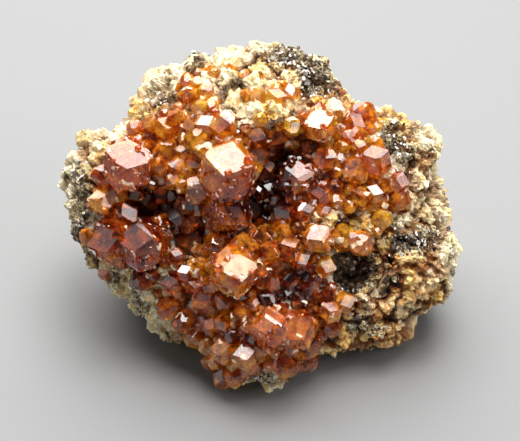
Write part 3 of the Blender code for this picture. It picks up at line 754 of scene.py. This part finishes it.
def garnet_material(kind, looks):
    """Spessartine garnet, natural faces: glassy, high IOR, coloured by depth. Each crystal has its
    own tone, deeper in the red patches, darker with painted shade in the cavities and brighter on
    its low side with a painted glow, where light gathers. Facets differ in polish, and cream dust
    sits on some."""
    density, depth_colour, clearness = GARNET_DEPTHS[kind]
    material, tree, weight = new_material("spessartine_" + kind, "low_side", "tint", "redness",
                                          "darkness", "dust", "facet", "frosted")
    place = add_node(tree, "ShaderNodeTexCoord").outputs["Object"]
    drift = add_node(tree, "ShaderNodeTexNoise", Vector=place, Scale=1 / (2.5 * MM), Detail=3.0,
                     Roughness=0.6)
    spread = add_node(tree, "ShaderNodeMapRange", Value=drift.outputs["Fac"], From_Min=0.35,
                      From_Max=0.65, To_Min=-0.2, To_Max=0.2)
    painted_glow = add_node(tree, "ShaderNodeMapRange", Value=weight["low_side"], From_Min=0.1,
                    From_Max=0.9, To_Max=0.32)
    mood = spread.outputs["Result"]
    # painted shade darkens the crystals in the cavities, and a painted glow brightens their low sides
    for source, share in ((weight["tint"], 0.40), (weight["redness"], -0.34),
                          (weight["darkness"], -0.4), (painted_glow.outputs["Result"], 1.0)):
        mood = add_node(tree, "ShaderNodeMath", {"operation": "MULTIPLY_ADD"}, _0=source, _1=share,
                        _2=mood).outputs[0]
    level = add_node(tree, "ShaderNodeMath", {"operation": "ADD", "use_clamp": True}, _0=mood,
                     _1=0.39)
    body = add_node(tree, "ShaderNodeValToRGB", stops=GARNET_TONES, Fac=level.outputs[0])

    # cream dust in patches, and facets etched all over or here and there
    settled = add_node(tree, "ShaderNodeTexNoise", Vector=place, Scale=1 / (2.2 * MM), Detail=3.5,
                       Roughness=0.5)
    dusted = add_node(tree, "ShaderNodeMath", {"operation": "MULTIPLY_ADD"}, _0=weight["dust"],
                      _1=0.13, _2=settled.outputs["Fac"])
    dusty = add_node(tree, "ShaderNodeMapRange", Value=dusted.outputs[0], From_Min=0.66,
                     From_Max=0.70)
    etched = add_node(tree, "ShaderNodeMapRange", Value=weight["facet"], From_Min=0.86,
                      From_Max=1.0, To_Max=0.3)
    patchy = add_node(tree, "ShaderNodeMapRange", Value=settled.outputs["Fac"], From_Min=0.4,
                      From_Max=0.6, To_Min=0.7, To_Max=1.0)
    frosted = add_node(tree, "ShaderNodeMath", {"operation": "MULTIPLY"}, _0=weight["frosted"],
                       _1=patchy.outputs["Result"])
    dull = add_node(tree, "ShaderNodeMath", {"operation": "MAXIMUM"}, _0=etched.outputs["Result"],
                    _1=frosted.outputs[0])
    matt = add_node(tree, "ShaderNodeMath", {"operation": "MAXIMUM"}, _0=dusty.outputs["Result"],
                    _1=dull.outputs[0])
    coated = add_node(tree, "ShaderNodeMix", {"data_type": "RGBA"}, _0=matt.outputs[0],
                      _6=body.outputs["Color"], _7=from_hex("#f4dcbc"))

    # milky clouds inside, more of them in the brighter crystals
    cloud = add_node(tree, "ShaderNodeTexNoise", Vector=place, Scale=1 / (1.6 * MM), Detail=4.0,
                     Roughness=0.6)
    milk = add_node(tree, "ShaderNodeMath", {"operation": "MULTIPLY_ADD"}, _0=level.outputs[0],
                    _1=0.20, _2=cloud.outputs["Fac"])
    clear = add_node(tree, "ShaderNodeMapRange", Value=milk.outputs[0], From_Min=0.52,
                     From_Max=0.82, To_Min=min(1.0, clearness + 0.1), To_Max=clearness - 0.4)
    through = add_node(tree, "ShaderNodeMapRange", Value=matt.outputs[0],
                       To_Min=clear.outputs["Result"], To_Max=0.0)
    polish = add_node(tree, "ShaderNodeMapRange", Value=weight["facet"], To_Min=0.03, To_Max=0.24)
    rough = add_node(tree, "ShaderNodeMapRange", Value=matt.outputs[0],
                     To_Min=polish.outputs["Result"], To_Max=0.5)
    steps = add_node(tree, "ShaderNodeTexNoise", Vector=place, Scale=1 / (1.8 * MM), Detail=2.0)
    bump = add_node(tree, "ShaderNodeBump", Strength=0.2, Distance=0.10 * MM,
                    Height=steps.outputs["Fac"])
    shader = add_node(tree, "ShaderNodeBsdfPrincipled", Base_Color=coated.outputs[2],
                      IOR=looks.garnet_ior, Roughness=rough.outputs["Result"],
                      Transmission_Weight=through.outputs["Result"], Normal=bump.outputs["Normal"])
    depth = add_node(tree, "ShaderNodeVolumeAbsorption", Color=from_hex(depth_colour),
                     Density=density)
    add_node(tree, "ShaderNodeOutputMaterial", Surface=shader.outputs[0], Volume=depth.outputs[0])
    return material


# ---- shapes of single garnets, grains and flakes ----

def form_normals(form):
    """The face normals of a cubic crystal form, from one set of indices."""
    normals = set()
    for order in ((0, 1, 2), (1, 2, 0), (2, 0, 1), (0, 2, 1), (2, 1, 0), (1, 0, 2)):
        for signs in range(8):
            normals.add(tuple(form[order[axis]] * (-1 if signs >> axis & 1 else 1)
                              for axis in range(3)))
    return [Vector(normal).normalized() for normal in sorted(normals, reverse=True)]


def cut_block(name, planes):
    """A block cut by (normal, distance) planes round the origin."""
    bm = bmesh.new()
    bmesh.ops.create_cube(bm, size=4.0)
    for normal, distance in planes:
        if max(vert.co.dot(normal) for vert in bm.verts) - distance < SMALLEST_CUT:
            continue
        cut = bmesh.ops.bisect_plane(
            bm, geom=bm.verts[:] + bm.edges[:] + bm.faces[:], dist=1e-5,
            plane_co=normal * distance, plane_no=normal, clear_outer=True)
        edges = [item for item in cut["geom_cut"] if isinstance(item, bmesh.types.BMEdge)]
        if len(edges) > 2:
            bmesh.ops.contextual_create(bm, geom=edges)
    bmesh.ops.recalc_face_normals(bm, faces=bm.faces)
    facets = bm.faces.layers.float.new("facet")
    for number, face in enumerate(bm.faces):      # a chance for each facet, other for each block
        face[facets] = noise.cell(Vector((number * 1.7, len(name) + planes[0][1] * 97, 0.5)))
    mesh = bpy.data.meshes.new(name)
    bm.to_mesh(mesh)
    bm.free()
    return mesh


def small_garnet_meshes(count):
    """Dodecahedra and trapezohedra in all shares, so each shows large facets and narrow ones. The
    planes' distances are in radii, uneven as in real growth."""
    spread = random.Random(11)
    dodecahedron, trapezohedron = form_normals((1, 1, 0)), form_normals((2, 1, 1))
    meshes = []
    for number in range(count):
        lean = number / (count - 1) * 0.09
        planes = [(normal, 0.85 + lean + spread.uniform(-0.09, 0.07)) for normal in dodecahedron]
        planes += [(normal, 0.94 - lean + spread.uniform(-0.06, 0.08)) for normal in trapezohedron]
        meshes.append(cut_block(f"small_garnet_{number}", planes))
    return meshes


def grain_meshes(count):
    """Blocky cleavage fragments: six uneven sides, and corners broken off at up to eight more."""
    spread = random.Random(12)
    meshes = []
    for number in range(count):
        planes = []
        for axis in range(3):
            for side in (-1, 1):
                normal = Vector((spread.gauss(0, 0.22), spread.gauss(0, 0.22), spread.gauss(0, 0.22)))
                normal[axis] += side
                planes.append((normal.normalized(), spread.uniform(0.45, 1.0)))
        for _ in range(8):
            normal = Vector((spread.gauss(0, 1), spread.gauss(0, 1), spread.gauss(0, 1)))
            planes.append((normal.normalized(), spread.uniform(0.72, 0.95)))
        meshes.append(cut_block(f"grain_{number}", planes))
    return meshes


def flake_meshes(count):
    """Thin ragged plates of mica."""
    spread = random.Random(13)
    meshes = []
    for number in range(count):
        planes = [(Vector((0, 0, 1)), 0.16), (Vector((0, 0, -1)), 0.16)]
        for side in range(6):
            angle = math.radians(60 * side + spread.uniform(-12, 12))
            planes.append((Vector((math.cos(angle), math.sin(angle), 0)), spread.uniform(0.55, 1.0)))
        meshes.append(cut_block(f"flake_{number}", planes))
    return meshes


# ---- the solid garnets with their fine facets ----

def is_large(name):
    """Whether a solid garnet is one of those that are chipped and overgrown."""
    return name.startswith("garnet") and min(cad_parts[name].dimensions) > LARGE_GARNET


def sort_faces(bm):
    """Puts the faces in the order of their corners. A bevel leaves them in another order on each
    run, and the random draws that follow go by that order."""
    bm.verts.index_update()
    in_order = sorted(bm.faces, key=lambda face: sorted(vert.index for vert in face.verts))
    for number, face in enumerate(in_order):
        face.index = number
    bm.faces.sort()


def facetted(name, edge_width):
    """A solid garnet's own shape with its coplanar faces joined, the corners of a large one cut,
    and the second form cut along its edges, wide on some and narrow on others. The facets listed
    as frosted are marked."""
    spread = random.Random(sum(map(ord, name)))
    bm = bmesh.new()
    bm.from_mesh(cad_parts[name].data)
    bmesh.ops.remove_doubles(bm, verts=bm.verts, dist=0.01 * MM)
    bmesh.ops.dissolve_limit(bm, angle_limit=math.radians(1.5), verts=bm.verts, edges=bm.edges)
    bmesh.ops.recalc_face_normals(bm, faces=bm.faces)
    bm.normal_update()
    frosted = bm.faces.layers.float.new("frosted")
    for slope_u, slope_v, amount in FROSTED_FACETS.get(name, ()):
        wanted = Vector(np.array((slope_u, slope_v, 1.0)) @ FACE_AXES).normalized()
        nearest = max(bm.faces, key=lambda face: face.normal.dot(wanted))
        nearest[frosted] = amount
    radius = min(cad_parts[name].dimensions) / 2
    for _ in range(CORNER_FACETS if is_large(name) else 0):
        corners = [vert for vert in bm.verts if len(vert.link_edges) > 2
                   and all(edge.is_convex for edge in vert.link_edges)
                   and not any(face[frosted] > DULL for face in vert.link_faces)
                   and vert.normal.dot(Vector(FACE_OUT)) > -0.2]
        bmesh.ops.bevel(bm, geom=[spread.choice(corners)], segments=1, affect="VERTICES",
                        offset=radius * spread.uniform(*CORNER_CUT), clamp_overlap=True)
        sort_faces(bm)
    facets = bm.faces.layers.float.new("facet")
    for face in bm.faces:
        face[facets] = spread.random() * 0.9
    widths = bm.edges.layers.float.new("bevel_weight_edge")
    for edge in bm.edges:
        angle = math.degrees(edge.calc_face_angle(0))
        if edge.is_convex and EDGE_ANGLES[0] < angle < EDGE_ANGLES[1]:
            edge[widths] = spread.choice(EDGE_WIDTHS)
            if any(face[frosted] > DULL for face in edge.link_faces):
                edge[widths] *= 0.3
    mesh = bpy.data.meshes.new(name + "_crystal")
    bm.to_mesh(mesh)
    bm.free()

    draft = link(bpy.data.objects.new("draft", mesh))
    bevel = draft.modifiers.new("second_form", "BEVEL")
    bevel.limit_method = "WEIGHT"
    bevel.width = edge_width / 100 * radius
    bevel.segments = 1
    depsgraph = bpy.context.evaluated_depsgraph_get()
    mesh = bpy.data.meshes.new_from_object(draft.evaluated_get(depsgraph), depsgraph=depsgraph)
    bpy.data.objects.remove(draft)
    mesh.name = name + "_crystal"
    set_place_weights(mesh, spread.random())
    return mesh


def set_place_weights(mesh, tint):
    """The colour weights that a garnet's material reads, by where it sits."""
    places = to_face(vertex_places(mesh))
    u, v = places[:, 0], places[:, 1]
    middle = places.mean(0)
    half_size = np.abs(places - middle).max()
    set_weights(mesh, "tint", np.full(len(u), tint))
    set_weights(mesh, "redness", np.clip(patches_at(RED_PATCHES, u, v), -1, 1))
    # painted shade for the garnets down in the cavities
    set_weights(mesh, "darkness", np.clip(patches_at(CAVITY_SHADE_PATCHES, u, v), 0, 1))
    set_weights(mesh, "dust", np.clip(patches_at(DUST_PATCHES, u, v), 0, 1))
    # how far down the crystal each point lies, which the material brightens as a painted glow
    set_weights(mesh, "low_side", (middle[1] - v) / half_size)


def broken(mesh, span):
    """The mesh cut into small triangles, with the low parts of its facets broken and etched."""
    bm = bmesh.new()
    bm.from_mesh(mesh)
    sort_faces(bm)
    bmesh.ops.triangulate(bm, faces=bm.faces)
    for _ in range(6):                      # halvings, enough for the longest edge
        long = [edge for edge in bm.edges if edge.calc_length() > span]
        if not long:
            break
        bmesh.ops.subdivide_edges(bm, edges=long, cuts=1)
        bmesh.ops.triangulate(bm, faces=bm.faces)
    bm.normal_update()
    bm.verts.ensure_lookup_table()
    places = to_face(np.array([vert.co for vert in bm.verts]))
    normals = np.array([vert.normal for vert in bm.verts]) @ FACE_AXES.T
    chips, _, _ = grain_heights(places, CHIP_PITCH, seed=7)
    cloud = cloud_heights(places, 3.0, 0.8, 3, seed=9)
    amount = smooth_step(0.1, 0.5, cloud - normals[:, 1] * 0.9 - 0.35)
    depth = amount * np.clip(0.35 - chips * 0.55, 0, 0.8) + 0.004 * cloud
    for vert, normal, part in zip(bm.verts, normals, depth):
        vert.co -= Vector(normal @ FACE_AXES) * part * CHIP_DEPTH * MM
    bm.to_mesh(mesh)
    bm.free()
    mesh.update()
    return mesh


def sow_overgrowth():
    """Sow seeds on the low and rough sides of the large garnets."""
    bm = bmesh.new()
    for name in GARNET_NODES:
        if is_large(name):
            bm.from_mesh(bpy.data.objects[name + "_crystal"].data)
    skin = bpy.data.meshes.new("large_garnet_skins")
    bm.to_mesh(skin)
    bm.free()
    places, normals = vertex_places(skin), vertex_normals(skin)
    facing = normals @ FACE_AXES.T
    cloud = cloud_heights(to_face(places), 4.0, 0.8, 3, seed=5)
    chances = smooth_step(-0.1, 0.4, cloud - facing[:, 1] * 0.6 - facing[:, 2] * 0.8)
    radii = np.array(OVERGROWTH_RADII) * MM
    limits = np.full(len(places), radii[0])
    weights = {}
    for name in ("redness", "darkness", "dust"):
        weights[name] = np.empty(len(places), np.float32)
        skin.attributes[name].data.foreach_get("value", weights[name])
    bpy.data.meshes.remove(skin)
    sow("overgrowth", places, normals, chances, limits, radii, weights)


# ---- growing shapes on seeds by geometry nodes ----

# the tree's inputs: name, type, default. Size is in a seed's radii, and Lie flat is from 0, turned
# any way, to 1, flat on the surface
GROW_INPUTS = [
    ("Geometry", "NodeSocketGeometry", None),
    ("Shapes", "NodeSocketCollection", None),
    ("Size", "NodeSocketFloat", 1.0),
    ("Lie flat", "NodeSocketFloat", 0.0),
    ("Seed", "NodeSocketInt", 0),
    ("Material", "NodeSocketMaterial", None),
]


def grow_tree():
    """Puts a turned shape on each seed, at the seed's radius, and joins them in one mesh. Each gets
    a tint by chance, and each point knows how far down its own shape it lies."""
    tree = bpy.data.node_groups.new("grow_on_seeds", "GeometryNodeTree")
    for name, kind, default in GROW_INPUTS:
        socket = tree.interface.new_socket(name=name, in_out="INPUT", socket_type=kind)
        if default is not None:
            socket.default_value = default
    tree.interface.new_socket(name="Geometry", in_out="OUTPUT", socket_type="NodeSocketGeometry")
    given = tree.nodes.new("NodeGroupInput").outputs
    spot = add_node(tree, "GeometryNodeInputPosition").outputs["Position"]
    centred = add_node(tree, "GeometryNodeStoreNamedAttribute",
                       {"data_type": "FLOAT_VECTOR", "domain": "POINT"},
                       Geometry=given["Geometry"], Name="middle", Value=spot)
    radius = add_node(tree, "GeometryNodeInputNamedAttribute", {"data_type": "FLOAT"},
                      Name="radius").outputs["Attribute"]
    size = add_node(tree, "ShaderNodeMath", {"operation": "MULTIPLY"}, _0=radius, _1=given["Size"])
    shapes = add_node(tree, "GeometryNodeCollectionInfo", Collection=given["Shapes"],
                      Separate_Children=True, Reset_Children=True)
    turn = add_node(tree, "FunctionNodeRandomValue", {"data_type": "FLOAT_VECTOR"},
                    _0=(-math.pi,) * 3, _1=(math.pi,) * 3, Seed=given["Seed"])
    outward = add_node(tree, "GeometryNodeInputNamedAttribute", {"data_type": "FLOAT_VECTOR"},
                       Name="outward").outputs["Attribute"]
    laid = add_node(tree, "FunctionNodeAlignRotationToVector", {"axis": "Z"},
                    Rotation=turn.outputs["Value"], Factor=given["Lie flat"], Vector=outward)
    placed = add_node(tree, "GeometryNodeInstanceOnPoints", Points=centred.outputs["Geometry"],
                      Instance=shapes.outputs["Instances"], Pick_Instance=True,
                      Rotation=laid.outputs[0], Scale=size.outputs[0])
    # the tints draw from a seed that no other growth uses
    next_seed = add_node(tree, "ShaderNodeMath", {"operation": "ADD"}, _0=given["Seed"], _1=50.0)
    tint = add_node(tree, "FunctionNodeRandomValue", {"data_type": "FLOAT"},
                    Seed=next_seed.outputs[0])
    tinted = add_node(tree, "GeometryNodeStoreNamedAttribute",
                      {"data_type": "FLOAT", "domain": "INSTANCE"},
                      Geometry=placed.outputs["Instances"], Name="tint", Value=tint.outputs[1])
    real = add_node(tree, "GeometryNodeRealizeInstances", Geometry=tinted.outputs["Geometry"])
    middle = add_node(tree, "GeometryNodeInputNamedAttribute", {"data_type": "FLOAT_VECTOR"},
                      Name="middle").outputs["Attribute"]
    away = add_node(tree, "ShaderNodeVectorMath", {"operation": "SUBTRACT"}, _0=spot, _1=middle)
    drop = add_node(tree, "ShaderNodeVectorMath", {"operation": "DOT_PRODUCT"},
                    _0=away.outputs["Vector"], _1=tuple(-FACE_UP))
    share = add_node(tree, "ShaderNodeMath", {"operation": "DIVIDE"}, _0=drop.outputs["Value"],
                     _1=size.outputs[0])
    # how far down its shape each point lies, which the garnets' material turns into a painted glow
    sided = add_node(tree, "GeometryNodeStoreNamedAttribute",
                     {"data_type": "FLOAT", "domain": "POINT"},
                     Geometry=real.outputs["Geometry"], Name="low_side", Value=share.outputs[0])
    done = add_node(tree, "GeometryNodeSetMaterial", Geometry=sided.outputs["Geometry"],
                    Material=given["Material"])
    tree.links.new(done.outputs["Geometry"], tree.nodes.new("NodeGroupOutput").inputs[0])
    return tree


def shape_collection(name, meshes):
    """The shapes as objects in a collection, for the growing tree to pick from."""
    collection = bpy.data.collections.new(name)
    for mesh in meshes:
        collection.objects.link(bpy.data.objects.new(mesh.name, mesh))
    return collection


def grow(name, kind, **values):
    """Run the growing tree on one kind's seeds and return the result as a plain piece."""
    tree = bpy.data.node_groups.get("grow_on_seeds") or grow_tree()
    carrier = link(bpy.data.objects.new(name + "_carrier", bpy.data.meshes[kind + "_seeds"]))
    modifier = carrier.modifiers.new("grow", "NODES")
    modifier.node_group = tree
    for socket in tree.interface.items_tree:
        key = socket.name.lower().replace(" ", "_")
        if socket.in_out == "INPUT" and key in values:
            modifier[socket.identifier] = values[key]
    depsgraph = bpy.context.evaluated_depsgraph_get()
    mesh = bpy.data.meshes.new_from_object(carrier.evaluated_get(depsgraph), depsgraph=depsgraph)
    mesh.name = name
    bpy.data.objects.remove(carrier)
    return link(bpy.data.objects.new(name, mesh))


# ---- settings ----

class DruseSizes(bpy.types.PropertyGroup):
    rock_divisions: IntProperty(name="Rock divisions", description="Fineness of the rock's mesh",
                                default=7, min=4, max=8)
    lump: FloatProperty(name="Lumps", description="Pitch of the rock's lumps",
                        default=5.0 * MM, unit="LENGTH")
    coarse_grain: FloatProperty(name="Coarse grain", description="Pitch of the rock's large grains",
                                default=2.4 * MM, unit="LENGTH")
    fine_grain: FloatProperty(name="Fine grain", description="Pitch of the rock's small grains",
                              default=1.05 * MM, unit="LENGTH")
    largest_small: FloatProperty(name="Largest small garnet", unit="LENGTH", default=3.0 * MM,
                                 description="Radius of the largest of the small garnets")
    smallest_small: FloatProperty(name="Smallest small garnet", unit="LENGTH", default=1.0 * MM,
                                  description="Radius of the smallest of the small garnets")
    edge_width: FloatProperty(name="Garnet edges", subtype="PERCENTAGE",
                              description="Width of the second form's widest facets, of the radius",
                              default=34.0, min=0.0, max=50.0)
    broken_span: FloatProperty(name="Broken facets", unit="LENGTH", default=0.55 * MM,
                               description="Longest edge in the mesh of the large garnets")


class DruseLooks(bpy.types.PropertyGroup):
    garnet_ior: FloatProperty(name="Garnet IOR", description="Refractive index of spessartine",
                              default=1.8, min=1.0, max=2.5)
    floor_colour: FloatVectorProperty(name="Floor", description="Colour of the studio floor",
                                      subtype="COLOR", size=4, default=from_hex("#808080"))


# ---- operators ----

class DRUSE_OT_rock(bpy.types.Operator):
    """Build the fine rock that stands for the solid matrix"""
    bl_idname = "druse.rock"
    bl_label = "Rock"

    def execute(self, context):
        mesh = make_rock_mesh(context.scene.druse_sizes)
        mesh.materials.append(rock_material())
        rock = link(bpy.data.objects.new("rock", mesh))
        finish_piece(rock, "rock", "matrix")
        return {"FINISHED"}


class DRUSE_OT_garnets(bpy.types.Operator):
    """Build the facetted garnets that stand for the solid ones"""
    bl_idname = "druse.garnets"
    bl_label = "Garnets"

    def execute(self, context):
        sizes, looks = context.scene.druse_sizes, context.scene.druse_looks
        large, medium = garnet_material("large", looks), garnet_material("medium", looks)
        for name in GARNET_NODES:
            big = is_large(name)
            mesh = facetted(name, sizes.edge_width)
            if big:
                mesh = broken(mesh, sizes.broken_span)
            mesh.materials.append(large if big else medium)
            finish_piece(link(bpy.data.objects.new(name + "_crystal", mesh)), "garnet", name)
        return {"FINISHED"}


class DRUSE_OT_overgrowth(bpy.types.Operator):
    """Grow young garnets on the large ones"""
    bl_idname = "druse.overgrowth"
    bl_label = "Overgrowth"

    def execute(self, context):
        sow_overgrowth()
        shapes = shape_collection("overgrowth_shapes", small_garnet_meshes(4))
        material = garnet_material("overgrowth", context.scene.druse_looks)
        piece = grow("overgrown_garnets", "overgrowth", shapes=shapes, seed=8, material=material)
        finish_piece(piece, "garnet")
        return {"FINISHED"}


class DRUSE_OT_small_garnets(bpy.types.Operator):
    """Grow the small garnets between the large ones"""
    bl_idname = "druse.small_garnets"
    bl_label = "Small garnets"

    def execute(self, context):
        shapes = shape_collection("small_garnet_shapes", small_garnet_meshes(8))
        material = garnet_material("small", context.scene.druse_looks)
        piece = grow("small_garnets", "small_garnet", shapes=shapes, seed=1, material=material)
        finish_piece(piece, "garnet")
        return {"FINISHED"}


class DRUSE_OT_grains(bpy.types.Operator):
    """Grow the grains that stand out of the rock and the flakes of mica"""
    bl_idname = "druse.grains"
    bl_label = "Grains and flakes"

    def execute(self, context):
        grains = shape_collection("grain_shapes", grain_meshes(7))
        flakes = shape_collection("flake_shapes", flake_meshes(4))
        piece = grow("feldspar_grains", "grain", shapes=grains, seed=4,
                     material=bpy.data.materials["weathered_feldspar_rock"])
        finish_piece(piece, "rock")
        piece = grow("mica_flakes", "flake", shapes=flakes, seed=5, lie_flat=0.8,
                     material=mica_material())
        finish_piece(piece, "rock")
        return {"FINISHED"}


class DRUSE_OT_stage(bpy.types.Operator):
    """Lay the floor and set up the light and the camera"""
    bl_idname = "druse.stage"
    bl_label = "Stage"

    def execute(self, context):
        scene = context.scene
        make_floor(scene.druse_looks)
        make_lights(scene)
        make_camera(scene)
        return {"FINISHED"}


def make_floor(looks):
    """A sheet of matt paper, 3 m wide, so its edges stay out of sight."""
    bm = bmesh.new()
    bmesh.ops.create_grid(bm, x_segments=1, y_segments=1, size=1.5)
    mesh = bpy.data.meshes.new("floor")
    bm.to_mesh(mesh)
    bm.free()
    floor = link(bpy.data.objects.new("floor", mesh))
    material = bpy.data.materials.new("matt_paper")
    material.use_nodes = True
    shader = material.node_tree.nodes["Principled BSDF"]
    shader.inputs["Base Color"].default_value = looks.floor_colour
    shader.inputs["Roughness"].default_value = 0.7
    mesh.materials.append(material)


def add_softbox(name, slope, distance, width, power):
    """A round softbox that facets of one slope (across, up) to the druse's front throw into view."""
    facet = np.array((*slope, 1.0)) / np.linalg.norm((*slope, 1.0))
    towards = (2 * facet[2] * facet - np.array((0.0, 0.0, 1.0))) @ FACE_AXES
    light = bpy.data.lights.new(name, "AREA")
    light.shape = "DISK"
    light.size = width
    light.energy = power
    item = link(bpy.data.objects.new(name, light))
    item.location = FACE_CENTRE + towards * distance
    item.rotation_euler = Vector(towards).to_track_quat("Z", "Y").to_euler()


def make_lights(scene):
    """Five softboxes in a dim warm room, and colours shown as they are lit."""
    world = bpy.data.worlds.new("studio")
    world.use_nodes = True
    background = world.node_tree.nodes["Background"]
    background.inputs["Color"].default_value = from_hex("#ece8e0")
    background.inputs["Strength"].default_value = 0.1
    scene.world = world
    scene.view_settings.view_transform = "Standard"
    for name, (slope, distance, width, power) in SOFTBOXES.items():
        add_softbox(name, slope, distance, width, power)


def make_camera(scene):
    """A camera square to the druse's front, aimed at the middle of the garnets."""
    data = bpy.data.cameras.new("camera")
    camera = link(bpy.data.objects.new("camera", data))
    distance, width = 340 * MM, 100 * MM        # to what it aims at, and of the view there
    aside, upward = 0.4 * MM, 1.1 * MM          # how far the druse stands off the middle
    aim = Vector(FACE_CENTRE) + Vector(FACE_OUT) * 6 * MM
    camera.location = aim + Vector(FACE_OUT) * distance
    camera.rotation_euler = (aim - camera.location).to_track_quat("-Z", "Y").to_euler()
    data.lens = data.sensor_width * distance / width
    data.shift_x = -aside / width
    data.shift_y = -upward / width
    scene.camera = camera


class DRUSE_PT_panel(bpy.types.Panel):
    """Lists the druse's operators and settings"""
    bl_label = "Garnet druse"
    bl_idname = "DRUSE_PT_panel"
    bl_space_type = "VIEW_3D"
    bl_region_type = "UI"
    bl_category = "Druse"

    def draw(self, context):
        for group in (context.scene.druse_sizes, context.scene.druse_looks):
            for name in group.__annotations__:
                self.layout.prop(group, name)
        for operator in OPERATORS:
            self.layout.operator(operator.bl_idname)


OPERATORS = (DRUSE_OT_rock, DRUSE_OT_garnets, DRUSE_OT_overgrowth, DRUSE_OT_small_garnets,
             DRUSE_OT_grains, DRUSE_OT_stage)
CLASSES = (DruseSizes, DruseLooks, *OPERATORS, DRUSE_PT_panel)


def register():
    """Add the classes and their settings to Blender."""
    for item in CLASSES:
        bpy.utils.register_class(item)
    bpy.types.Scene.druse_sizes = PointerProperty(type=DruseSizes)
    bpy.types.Scene.druse_looks = PointerProperty(type=DruseLooks)


def unregister():
    """Take them out again, in reverse."""
    del bpy.types.Scene.druse_looks
    del bpy.types.Scene.druse_sizes
    for item in reversed(CLASSES):
        bpy.utils.unregister_class(item)


def main():
    """Make the druse and its stage."""
    register()
    bpy.ops.druse.rock()
    bpy.ops.druse.garnets()
    bpy.ops.druse.overgrowth()
    bpy.ops.druse.small_garnets()
    bpy.ops.druse.grains()
    bpy.ops.druse.stage()


if __name__ == "__main__":
    main()
